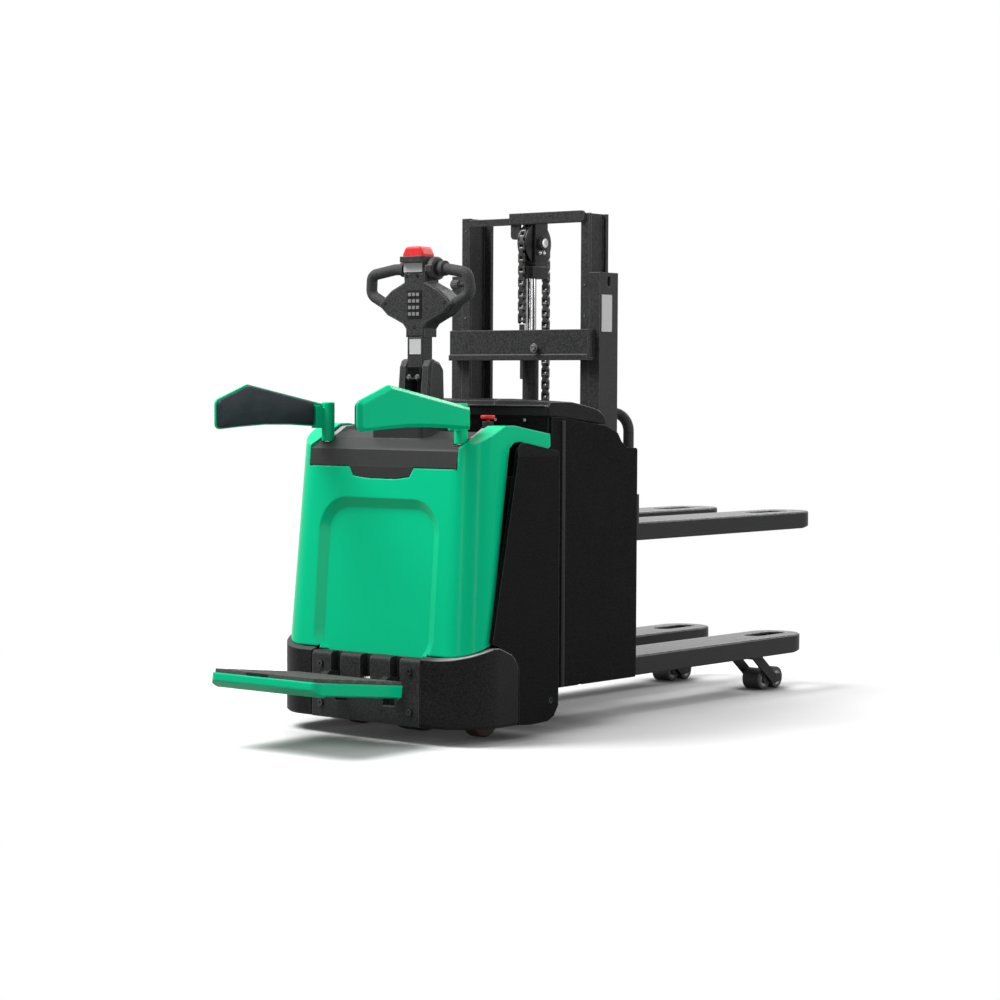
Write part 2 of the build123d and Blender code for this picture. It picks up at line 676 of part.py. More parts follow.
def arm_pivot():
    """Steel pin under the right arm."""
    low = DASH_FACE[1] - 28
    return rod("Z", (ARM_X, ARM_Y, (low + ARM_POST[1] - 8) / 2), ARM_PIN_R, ARM_POST[1] - 8 - low)


def bumper_skirt():
    """Right half of the skirt, from the hinge plate round the corner."""
    front = BUMPER_FRONT
    back = -300.0
    depth = back - front
    mid = (front + back) / 2
    outer = extrude(Pos(0, mid, BUMPER_LOW) * RectangleRounded(2 * HALF_WIDTH, depth, BUMPER_ROUND), 260)
    wall = BUMPER_WALL
    inner = RectangleRounded(2 * (HALF_WIDTH - wall), depth - 2 * wall, BUMPER_ROUND - wall)
    skirt = outer - extrude(Pos(0, mid, BUMPER_LOW - 10) * inner, 300)
    base = 246.0
    brow = [(front - 9, base), (back, base + depth * BUMPER_RISE), (back, 500), (front - 9, 500)]
    skirt -= side_plate(brow, -500, 500)
    top = [f for f in skirt.faces() if f.normal_at().Z > 0.5]
    skirt = chamfer(top[0].outer_wire().edges(), BUMPER_BEVEL)
    skirt = skirt & block((PLATE_HALF + SEAM, 500), (-900, -578), (0, 400))
    tail = [(-700, 283), (-665, 283), (-612, 262), (-590, 242), (-578, 218), (-570, 218)]
    skirt -= side_plate(tail + [(-570, 500), (-700, 500)], 0, 500)
    foot = skirt.faces().sort_by(Axis.Z)[0].edges()
    rim = [e for e in foot if e.length > 150]
    return chamfer(rim, 7)


def side_cover():
    """Right side cover between the cowl and the lifting frame."""
    g = SEAM
    outline = [
        (-678, 292), (-701 + g, 298), (SHOULDER[0][0] + 2 * g, SHOULDER[0][1] - g),
        *[(y, z - g) for y, z in SHOULDER[1:-1]], (COVER_BACK, SHOULDER[-1][1] - 2 * g),
        (COVER_BACK, 92), (-408, 62), (-440, 48), (-523, 46), (-577 + g, 50), (-577 + g, 219),
        (-590 + g, 245), (-611 + g, 265),
    ]
    cover = side_plate(outline, COVER_IN, HALF_WIDTH)
    brow = SHOULDER[1][1]
    bevel = [(HALF_WIDTH - 12, brow), (HALF_WIDTH + 1, brow - 44), (HALF_WIDTH + 20, brow)]
    cover -= front_plate(bevel, -700, -300)
    cover -= rod("X", (HALF_WIDTH, -422, 110), 9, 16)
    flange = block((FRAME_X[1], COVER_IN), (-470, -440), (300, 760))
    return cover + flange


def hinge_plate():
    """Middle of the skirt, slotted for the platform's knuckles."""
    plate = block((-PLATE_HALF, PLATE_HALF), (BUMPER_FRONT, PLATE_BACK), (BUMPER_LOW, PLATE_TOP))
    for x in (-KNUCKLE_X, 0, KNUCKLE_X):
        half = KNUCKLE_HALF + 7
        plate -= block((x - half, x + half), (BUMPER_FRONT - 1, PLATE_BACK - 8), (148, PLATE_TOP + 1))
    crown = long_edges(plate, Axis.X, lambda c: c.Z > PLATE_TOP - 1 and c.Y < BUMPER_FRONT + 1)
    plate = fillet(crown, 14)
    plate -= rod("X", (0, FOLD_Y, FOLD_Z), FOLD_PIN_R + 0.02, 340)
    for x in (-95, 95):
        plate -= block((x - 24, x + 24), (BUMPER_FRONT - 1, BUMPER_FRONT + 14), (104, 126))
    return plate


def skirt_bolts():
    """Four socket-head screws on the hinge plate."""
    bolts = []
    for x in (-177.5, 177.5):
        for z in (92, 210):
            head = rod("Y", (x, BUMPER_FRONT - 3, z), 10, 6)
            face = Plane(origin=(x, BUMPER_FRONT - 7, z), z_dir=(0, 1, 0))
            head -= extrude(face * RegularPolygon(5, 6), 4)
            bolts.append(head)
    return bolts


def platform_pin():
    """Hinge pin through the lugs and the platform's knuckles."""
    return rod("X", (0, FOLD_Y, FOLD_Z), FOLD_PIN_R, 330)


def on_platform(shape):
    """Put a piece drawn level about the hinge into its tilted place."""
    return Pos(0, FOLD_Y, FOLD_Z) * Rot(-FOLD_TILT, 0, 0) * shape


def platform_tray():
    """Folding step pan with its two hinge knuckles."""
    top = TRAY_TOP
    low = top - TRAY_DEPTH
    pan = block((-PLATE_HALF, PLATE_HALF), (-TRAY_FAR, -TRAY_NEAR), (low, top))
    pan = fillet(long_edges(pan, Axis.Z, lambda c: c.Y < -TRAY_FAR + 1), TRAY_ROUND)
    pan = fillet(long_edges(pan, Axis.Z, lambda c: c.Y > -TRAY_NEAR - 1), 10)
    pan = chamfer(pan.faces().sort_by(Axis.Z)[0].edges(), 9)
    inside = block(
        (-PLATE_HALF + 6, PLATE_HALF - 6), (-TRAY_FAR + 34, -TRAY_NEAR - 6), (low - 1, top - 6)
    )
    pan -= fillet(inside.edges().filter_by(Axis.Z), 20)
    far = -TRAY_FAR - 1
    slope = [(far, low - 1), (far, top - TRAY_LIP), (far + 29, low), (far + 29, low - 1)]
    pan -= side_plate(slope, -PLATE_HALF - 1, PLATE_HALF + 1)
    for x in (-KNUCKLE_X, KNUCKLE_X):
        near = -TRAY_NEAR - 3
        arm = [(0, -13), (-52, -13), (near, low + 6), (near, top - 1), (-58, 13), (0, 13)]
        pan += side_plate(arm, x - KNUCKLE_HALF, x + KNUCKLE_HALF)
        pan += rod("X", (x, 0, 0), 13, 2 * KNUCKLE_HALF)
    pan -= rod("X", (0, 0, 0), FOLD_PIN_R + PIN_GAP, 600)
    return on_platform(pan)


def platform_mat():
    """Rubber mat with ribs on the pan."""
    low = TRAY_TOP
    high = low + MAT_THICK
    mat = block((-PLATE_HALF + 7, PLATE_HALF - 7), (-TRAY_FAR + 7, -TRAY_NEAR - 4), (low, high))
    mat = fillet(long_edges(mat, Axis.Z, lambda c: c.Y < -300), TRAY_ROUND - 7)
    step = (TRAY_FAR - TRAY_NEAR - 11) / MAT_RIBS
    for i in range(1, MAT_RIBS):
        y = -TRAY_FAR + 7 + i * step
        mat -= block((-PLATE_HALF, PLATE_HALF), (y - 8, y + 8), (high - 5, high + 1))
    return on_platform(mat)


def arm_plate(inset, end, x_low, x_high):
    """Side view of an arm as a plate, drawn in by an inset and cut off at its root."""
    n = inset
    outline = [
        (-1152 + n, 915 + n), (-1152 + n, 1001 - n), (-1022, 1048 - n), (ARM_SHELL_END, 984 - n),
        (ARM_SHELL_END, 918 + n), (-840, 927 + n), (-950, 928 + n), (-1060, 922 + n),
    ]
    plate = side_plate(outline, x_low, x_high)
    plate = fillet(long_edges(plate, Axis.X, lambda c: c.Y < -1100 or c.Z > 1030), ARM_CORNER - n)
    return plate & block((x_low - 1, x_high + 1), (-1200, end), (800, 1100))


def arm_shell():
    """Right arm: outer shell, root and the post that turns on the pin."""
    shell = arm_plate(0, ARM_SHELL_END, *ARM_SHELL)
    shell = chamfer(shell.faces().sort_by(Axis.X)[-1].edges(), 11)
    root = [(-740, 916), (-740, 985), (-700, 976), (ARM_Y, 974), (ARM_Y, 916)]
    shell += side_plate(root, ARM_X - 3, ARM_SHELL[1] - 12)
    post = rod("Z", (ARM_X, ARM_Y, sum(ARM_POST) / 2), ARM_POST_R, ARM_POST[1] - ARM_POST[0])
    shell += fillet(post.edges().sort_by(Axis.Z)[-1], 5)
    shell += block((ARM_X, ARM_SHELL[1] - 12), (ARM_Y - 12, ARM_Y + 12), (920, 972))
    bore = ARM_POST[1] - 8 + RUN
    shell -= rod("Z", (ARM_X, ARM_Y, bore / 2), ARM_PIN_R + PIN_GAP, bore)
    return shell


def arm_pad():
    """Padded lining on the inner face of the right arm."""
    pad = arm_plate(1, ARM_PAD_END, ARM_PAD_X, ARM_SHELL[0])
    face = pad.faces().sort_by(Axis.X)[0]
    return chamfer(face.edges(), 3)


def steer_head():
    """Tiller pedestal on its steering column."""
    column = rod("Z", (0, STEER_Y, (620 + PLINTH_TOP + 1) / 2), 30, PLINTH_TOP + 1 - 620)
    base = PLINTH_TOP + 1.0
    pivot = TILLER_PIVOT_Z
    disc = rod("Z", (0, STEER_Y, base + 7), 82, 14)
    profile = [
        (STEER_Y - 40, base + 10), (STEER_Y - 26, pivot + 15), (STEER_Y - 18, pivot + 32),
        (STEER_Y - 6, pivot + 37), (STEER_Y + 26, pivot + 26), (STEER_Y + 42, pivot + 6),
        (STEER_Y + 48, base + 10),
    ]
    cheek = side_plate(profile, CHEEK_IN, PEDESTAL_HALF)
    rim = [e for e in cheek.faces().sort_by(Axis.X)[-1].edges() if e.center().Z > base + 20]
    cheek = chamfer(rim, 9)
    head = column + disc + cheek + other_side(cheek)
    head += block((-CHEEK_IN, CHEEK_IN), (STEER_Y + 29, STEER_Y + 36), (base + 10, pivot + 2))
    head += block((-CHEEK_IN, CHEEK_IN), (STEER_Y - 38, STEER_Y + 30), (base + 10, pivot - 90))
    return head - rod("X", (0, STEER_Y, TILLER_PIVOT_Z), TILLER_PIN_R + 0.02, 2 * PEDESTAL_HALF - 12)


def tiller_pin():
    """Pin that the tiller tilts on."""
    return rod("X", (0, STEER_Y, TILLER_PIVOT_Z), TILLER_PIN_R, 2 * PEDESTAL_HALF - 13)


def tiller_arm():
    """Box arm between the pedestal and the head."""
    low = TILLER_PIVOT_Z - 26
    deep = (STEER_Y - TILLER_DEPTH, STEER_Y + TILLER_DEPTH)
    arm = block((-TILLER_HALF, TILLER_HALF), deep, (low, HEAD_LOW))
    arm = fillet(long_edges(arm, Axis.X, lambda c: c.Z < low + 1), 18)
    arm = fillet(arm.edges().filter_by(Axis.Z), 5)
    return arm - rod("X", (0, STEER_Y, TILLER_PIVOT_Z), TILLER_PIN_R + PIN_GAP, 300)


def head_body():
    """Head housing before its holes."""
    side = [
        (48, 0), (46, 45), (44, 72), (60, 80), (96, 96), (128, 122), (146, 140), (112, 170), (83, 182),
        (50, 197), (37, 212), (37, HEAD_HIGH - HEAD_LOW),
    ]
    right = [(x, HEAD_HIGH - drop) for x, drop in side]
    outline = right + [(-x, z) for x, z in reversed(right)]
    body = front_plate(outline, HEAD_FRONT, HEAD_BACK)
    body = chamfer(body.faces().sort_by(Axis.Y)[0].edges(), 5)
    body += button_rim(7.0, HEAD_BACK, (BUTTON_WELL - 3, RIM_TOP))
    return body - button_rim(0.0, BUTTON_Y[1] + 1.5, (BUTTON_WELL, RIM_TOP + 1))


def button_rim(width, back, high):
    """Block round the safety button: the head's raised rim, or with no width the well inside it."""
    reach = width + 1.5
    half = BUTTON_HALF + reach
    rim = block((-half, half), (BUTTON_Y[0] - reach, back), high)
    return fillet(long_edges(rim, Axis.Z, lambda c: c.Y < HEAD_FRONT), 9 + 0.7 * width)


def tiller_head():
    """Control head housing."""
    head = head_body()
    for x in (-24, 24):
        head -= rod("Z", (x, STEER_Y, BUTTON_WELL - 4), 6.5, 28)
    for x, drop in ((-118, 134), (118, 134), (0, 208), (-26, 44), (26, 44)):
        head -= rod("Y", (x, HEAD_FRONT, HEAD_HIGH - drop), 4, 12)
    return head


def tiller_grip():
    """Right hand loop from the head's side round to its lower wing."""
    y = GRIP_Y + 14
    z = GRIP_Z
    path = FilletPolyline(
        (46, y, z), (96, y, z), (190, y, z - 15), (198, y + 6, z - 74), (100, y + 10, z - 126),
        radius=24,
    )
    tube = sweep(Plane(origin=path @ 0, z_dir=path % 0) * Circle(GRIP_R), path=path)
    return tube - head_body()


def bar_collar(x):
    """Fixed collar on a bar, beside the head or beside the thumb wheel."""
    return rod("X", (x, GRIP_Y + 14, GRIP_Z), GRIP_R + 6, 14)


def throttle():
    """Thumb wheel that turns on the right bar beside the head."""
    at = (GRIP_Y + 14, GRIP_Z)
    ring = rod("X", (68, *at), THROTTLE_R - 6, 24)
    ring = chamfer(ring.edges(), 4)
    paddle = block((58, 78), (at[0] - THROTTLE_R, at[0] - 20), (at[1] - 9, at[1] + 9))
    ring += paddle
    ring -= rod("X", (73, *at), GRIP_R + PIN_GAP, 80)
    return ring


def belly_button():
    """Red safety button on top of the head."""
    low = BUTTON_LOW
    high = low + 37
    side = low + 14
    lean = BUTTON_HALF - 13
    outline = [
        (-BUTTON_HALF, low), (-BUTTON_HALF, side), (-lean, high), (lean, high), (BUTTON_HALF, side),
        (BUTTON_HALF, low),
    ]
    cap = front_plate(outline, *BUTTON_Y)
    cap = fillet(long_edges(cap, Axis.Y, lambda c: c.Z > high - 1), 14)
    front = [e for e in cap.faces().sort_by(Axis.Y)[0].edges() if e.center().Z > low + 1]
    cap = fillet(front, 8)
    for x in (-24, 24):
        cap += rod("Z", (x, STEER_Y, low - 5), 6, 12)
    return cap


def keypad():
    """Blank button panel on the front of the head."""
    low = HEAD_HIGH - 181
    plate = block((-28, 28), (HEAD_FRONT - 2, HEAD_FRONT), (low, low + 85))
    plate = fillet(plate.edges().filter_by(Axis.Y), 5)
    for row in range(4):
        for column in range(3):
            x = (column - 1) * 16
            z = low + 13 + row * 19.5
            plate += block((x - 6, x + 6), (HEAD_FRONT - 4, HEAD_FRONT - 1), (z - 5, z + 5))
    return plate


def drive_gearbox():
    """Gear case beside the drive wheel, with its turntable and stub axle."""
    case = rod("Z", (0, STEER_Y, 378), 110, 24)
    case += block((-66, 100), (STEER_Y - 56, STEER_Y + 56), (DRIVE_R * 2 + 12, 368))
    side = block((DRIVE_HALF + 6, 96), (STEER_Y - 52, STEER_Y + 52), (66, 300))
    case += fillet(side.edges().filter_by(Axis.X), 30)
    return case + rod("X", (4, STEER_Y, DRIVE_R), DRIVE_AXLE_R, 90)


def drive_motor():
    """Upright traction motor on the turntable."""
    low = 390.0
    body = rod("Z", (0, STEER_Y, (low + 600) / 2), 84, 600 - low)
    body = fillet(body.edges().sort_by(Axis.Z)[-1], 10)
    return body + rod("Z", (0, STEER_Y, 610), 40, 20)


def drive_wheel():
    """Drive wheel with a dished, bored hub."""
    wheel = rod("X", (0, STEER_Y, DRIVE_R), DRIVE_R, 2 * DRIVE_HALF)
    wheel = fillet(wheel.edges(), 6)
    face = (-DRIVE_HALF, STEER_Y, DRIVE_R)
    wheel -= rod("X", face, 78, 24) - rod("X", face, 44, 30)
    return wheel - rod("X", (0, STEER_Y, DRIVE_R), DRIVE_AXLE_R + PIN_GAP, 200)


def caster_fork():
    """Swivel fork of the right caster, with its stem and axle."""
    y = CASTER_Y - CASTER_TRAIL
    fork = rod("Z", (CASTER_X, CASTER_Y, 168), STEM_R, 44)
    fork += rod("Z", (CASTER_X, CASTER_Y, 154), 32, 16)
    inner = CASTER_HALF + 3
    fork += block((CASTER_X - inner - 6, CASTER_X + inner + 6), (y - 18, CASTER_Y + 26), (138, 148))
    for side in (-1, 1):
        x = sorted((CASTER_X + side * inner, CASTER_X + side * (inner + 6)))
        leg = [(y - 14, CASTER_R - 14), (y + 14, CASTER_R - 14), (CASTER_Y + 26, 148), (y - 18, 148)]
        fork += side_plate(leg, *x)
    return fork + rod("X", (CASTER_X, y, CASTER_R), 8, 2 * inner + 24)


def caster_wheel():
    """Right caster wheel."""
    y = CASTER_Y - CASTER_TRAIL
    wheel = rod("X", (CASTER_X, y, CASTER_R), CASTER_R, 2 * CASTER_HALF)
    wheel = fillet(wheel.edges(), 6)
    return wheel - rod("X", (CASTER_X, y, CASTER_R), 8 + PIN_GAP, 200)


def power_pack():
    """Hydraulic pump motor on its tank, standing on the deck."""
    half = FRAME_X[0] - 14
    tank = block((160, half), (-620, -430), (DECK[1], 560))
    tank = fillet(tank.edges().filter_by(Axis.Z), 14)
    motor = rod("Z", (245, -525, 640), 62, 160)
    case = block((-half, -160), (-620, -430), (DECK[1], 470))
    fins = [block((-half + i * 20, -half + 6 + i * 20), (-610, -440), (470, 500)) for i in range(9)]
    for fin in fins:
        case += fin
    return [tank + motor, case]


def stop_base():
    """Collar of the emergency stop."""
    low = DASH_FACE[1] + 34
    collar = rod("Z", (STOP_X, STOP_Y, (STOP_Z + low) / 2), 11, STOP_Z - low)
    collar += rod("Z", (STOP_X, STOP_Y, STOP_Z - 9), 17, 18)
    return collar - rod("Z", (STOP_X, STOP_Y, STOP_Z), 6 + PIN_GAP, 50)


def stop_button():
    """Red mushroom button that is pressed down to stop the machine."""
    stem = rod("Z", (STOP_X, STOP_Y, STOP_Z - 4), 6, 24)
    cap = rod("Z", (STOP_X, STOP_Y, STOP_Z + 13), 22, 12)
    cap = fillet(cap.edges(), 4)
    return stem + cap


def main():
    os.makedirs("parts", exist_ok=True)
    front, back = chain_runs()
    save("chassis_frame", *chassis_frame())
    save("front_cowl", front_cowl())
    save("dash_panel", dash_panel())
    save("bumper_skirts", *pair(bumper_skirt()))
    save("side_covers", *pair(side_cover()))
    save("hinge_plate", hinge_plate())
    save("skirt_bolts", *skirt_bolts())
    save("pivot_pins", platform_pin(), *pair(arm_pivot()))
    save("power_pack", *power_pack())
    save("stop_base", stop_base())
    save("stop_button", stop_button())
    save("platform_tray", platform_tray())
    save("platform_mat", platform_mat())
    for name, piece in (("arm_shell", arm_shell()), ("arm_pad", arm_pad())):
        save(name + "_right", piece)
        save(name + "_left", other_side(piece))
    save("steer_head", steer_head())
    save("tiller_pin", tiller_pin())
    save("drive_gearbox", drive_gearbox())
    save("drive_motor", drive_motor())
    save("drive_wheel", drive_wheel())
    save("tiller_arm", tiller_arm())
    save("tiller_head", tiller_head())
    grip = tiller_grip()
    save("tiller_grips", grip + bar_collar(98), other_side(grip) + bar_collar(-57))
    save("throttle", throttle())
    save("belly_button", belly_button())
    save("keypad", keypad())
    for name, piece in (("caster_fork", caster_fork()), ("caster_wheel", caster_wheel())):
        save(name + "_right", piece)
        save(name + "_left", other_side(piece))
    save("battery_box", *battery_box())
    save("battery_pack", battery_pack())
    save("hood_lid", hood_lid())
    save("side_panels", *pair(side_panel()))
    save("outer_mast", *pair(outer_rail()), *mast_ties())
    save("chain_anchor", chain_anchor())
    save("lift_cylinder", lift_cylinder())
    save("inner_mast", *pair(inner_rail()), *inner_bars())
    save("piston_rod", piston_rod())
    save("chain_yoke", chain_yoke())
    save("chain_pulley", chain_pulley())
    save("chain_front", *front)
    save("chain_back", *back)
    save("carriage_frame", *carriage_frame())
    save("load_guard", load_guard())
    for name, piece in (("lower_fork", lower_fork()), ("upper_fork", upper_fork())):
        save(name + "_right", piece)
        save(name + "_left", other_side(piece))
    for name, piece in (("swing_arm", swing_arm()), ("bogie", bogie())):
        save(name + "_right", piece)
        save(name + "_left", other_side(piece))
    for place, side in (("near", -1), ("far", 1)):
        wheel = load_wheel(BOGIE_Y + side * LOAD_SPACING / 2)
        save("load_wheel_right_" + place, wheel)
        save("load_wheel_left_" + place, other_side(wheel))


if __name__ == "__main__":
    main()
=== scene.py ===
"""Looks of a ride-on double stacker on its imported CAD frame, laid out as a Blender add-on."""
import math

import bmesh
import bpy
from bpy.props import FloatProperty, FloatVectorProperty, PointerProperty
from mathutils import Matrix, Vector


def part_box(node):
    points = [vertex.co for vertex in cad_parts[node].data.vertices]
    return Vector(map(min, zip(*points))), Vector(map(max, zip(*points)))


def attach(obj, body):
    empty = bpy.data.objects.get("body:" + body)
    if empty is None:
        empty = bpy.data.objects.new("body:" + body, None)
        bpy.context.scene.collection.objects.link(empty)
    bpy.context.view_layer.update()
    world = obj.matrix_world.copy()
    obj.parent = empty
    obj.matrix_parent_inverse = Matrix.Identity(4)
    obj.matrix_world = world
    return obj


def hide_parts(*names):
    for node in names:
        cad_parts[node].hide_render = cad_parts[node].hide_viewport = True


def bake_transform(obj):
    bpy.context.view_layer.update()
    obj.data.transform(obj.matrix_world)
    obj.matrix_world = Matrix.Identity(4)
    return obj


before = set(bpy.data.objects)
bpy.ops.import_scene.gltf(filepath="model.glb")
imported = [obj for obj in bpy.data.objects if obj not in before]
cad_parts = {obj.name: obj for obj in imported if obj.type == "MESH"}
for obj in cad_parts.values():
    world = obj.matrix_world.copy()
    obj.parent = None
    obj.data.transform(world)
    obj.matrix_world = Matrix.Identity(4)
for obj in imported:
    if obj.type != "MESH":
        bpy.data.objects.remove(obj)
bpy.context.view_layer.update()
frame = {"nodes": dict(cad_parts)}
NODES = frame["nodes"]

bl_info = {
    "name": "Double Stacker Looks",
    "version": (1, 0, 0),
    "blender": (4, 5, 0),
    "location": "View3D > Sidebar > Stacker",
    "description": "Finishes, trim, pads, chain runs and stage for a ride-on double stacker",
    "category": "Object",
}

# Directions and sides of the machine

UP = (0.0, 0.0, 1.0)
FRONT = (0.0, -1.0, 0.0)
RIGHT = (1.0, 0.0, 0.0)
LEFT = (-1.0, 0.0, 0.0)
SIDES = (-1, 1)
MIRROR_X = Matrix.Scale(-1.0, 4, RIGHT)


# Sizes and colours that a user may change


def colour_prop(name, text, default):
    """A scene-linear colour."""
    return FloatVectorProperty(
        name=name, description=text, subtype="COLOR", size=3, min=0.0, max=1.0, default=default
    )


def length_prop(name, text, default):
    """A length in metres."""
    return FloatProperty(name=name, description=text, unit="LENGTH", min=0.0, precision=4, default=default)


def angle_prop(name, text, degrees):
    """An angle, written in degrees."""
    return FloatProperty(name=name, description=text, subtype="ANGLE", default=math.radians(degrees))


def power_prop(name, text, watts):
    """The power of a lamp in watts."""
    return FloatProperty(name=name, description=text, subtype="POWER", default=watts)


class StackerPaint(bpy.types.PropertyGroup):
    """Colours of the paint, plastic, rubber and metal."""

    green: colour_prop("Cover green", "Moulded covers, arms and step pan", (0.0, 0.479, 0.223))
    frame: colour_prop("Frame black", "Textured paint on the mast, plates and forks", (0.026, 0.026, 0.0265))
    # Much darker than frame black: partly the covers' own colour, and partly painted shade of the machine's
    # right side.
    panel: colour_prop("Panel black", "Textured paint on the side covers and box", (0.0032, 0.0034, 0.0033))
    plastic: colour_prop("Plastic black", "Grained plastic of the tiller and head", (0.027, 0.027, 0.0274))
    skirt: colour_prop("Skirt black", "Grained plastic of the skirts", (0.0088, 0.0087, 0.0089))
    dash: colour_prop("Dash grey", "Grained plastic of the instrument top", (0.017, 0.0172, 0.0175))
    trim: colour_prop("Trim grey", "Light strips, keys and blank plates", (0.44, 0.44, 0.445))
    red: colour_prop("Button red", "Safety button and stop button", (0.64, 0.022, 0.022))
    pad: colour_prop("Pad black", "Foam skin of the arm pads", (0.0165, 0.0245, 0.0285))
    mat: colour_prop("Mat grey", "Rubber standing mat", (0.072, 0.069, 0.0685))
    caster: colour_prop("Caster tread", "Brown polyurethane of the casters", (0.05, 0.02, 0.016))
    tread: colour_prop("Load tread", "Dark polyurethane of drive and load wheels", (0.017, 0.0165, 0.016))
    steel: colour_prop("Plated steel", "Pins, screws and hubs", (0.44, 0.44, 0.448))
    chain: colour_prop("Chain steel", "Oiled leaf chain", (0.06, 0.059, 0.058))


class StackerSizes(bpy.types.PropertyGroup):
    """Sizes of the rounded edges and of the trim that is modelled here."""

    edge: length_prop("Edge round", "Softening of plate edges", 0.0025)
    cover_edge: length_prop("Cover round", "Softening of moulded edges", 0.007)
    pad_rim: length_prop("Pad rim", "Width of the sloped band round each arm pad", 0.007)
    pad_crown: length_prop("Pad crown", "Most that the arm pad may swell", 0.0032)
    pad_voxel: length_prop("Pad voxel", "Grid of the pad's skin", 0.0034)
    screw: length_prop("Screw radius", "Head of the small socket screws", 0.0038)
    bolt: length_prop("Bolt radius", "Head of the hexagon bolts", 0.0105)
    plate: length_prop("Plate thickness", "Blank plates on the head, arm and mast", 0.0012)


class StackerStage(bpy.types.PropertyGroup):
    """Camera and light."""

    lens: FloatProperty(
        name="Lens", description="Focal length on a 36 mm sensor, in millimetres", default=91.47
    )
    azimuth: angle_prop("Azimuth", "Camera turn", 39.125)
    pitch: angle_prop("Pitch", "Camera tilt down", 2.547)
    roll: angle_prop("Roll", "Camera roll", 0.269)
    eye: FloatVectorProperty(
        name="Eye", description="Camera place", subtype="TRANSLATION", size=3,
        default=(5.0462, -6.3802, 1.0435)
    )
    sky: FloatProperty(name="Sky", description="Strength of the even light", min=0.0, default=0.34)
    key: power_prop("Key lamp", "Power of the front left lamp", 560.0)
    side: power_prop("Side lamp", "Power of the right lamp", 120.0)
    strip: power_prop("Strip lamp", "Power of the tall right lamp", 18.0)
    front: power_prop("Front lamp", "Power of the tall front lamp", 12.0)
    back: power_prop("Back lamp", "Power of the high back lamp", 170.0)


def paint():
    """The colours in use."""
    return bpy.context.scene.stacker_paint


def sizes():
    """The sizes in use."""
    return bpy.context.scene.stacker_sizes


def node_middle(node):
    """Middle of a node's box at rest."""
    low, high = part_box(node)
    return (low + high) / 2


# Tools for finishes: scales are in cells per metre, spans are the values between which a share changes

CLOUD_SCALE = 6.0
CLOUD_SHARE = 0.14
PATCH_SCALE = 34.0
PATCH_SPAN = (0.38, 0.62)
NOISE_SPAN = (0.3, 0.7)
TONE_SPAN = (0.43, 0.57)
EDGE_SPAN = (0.995, 0.9)
UPWARD_SPAN = (0.1, 0.6)
BEVEL_SAMPLES = 6


def shade(colour, share):
    """A colour made lighter or darker."""
    return tuple(min(1.0, c * share) for c in colour)


def tone(colour, share=1.0):
    """A colour made lighter or darker, with its alpha."""
    return (*shade(colour, share), 1.0)


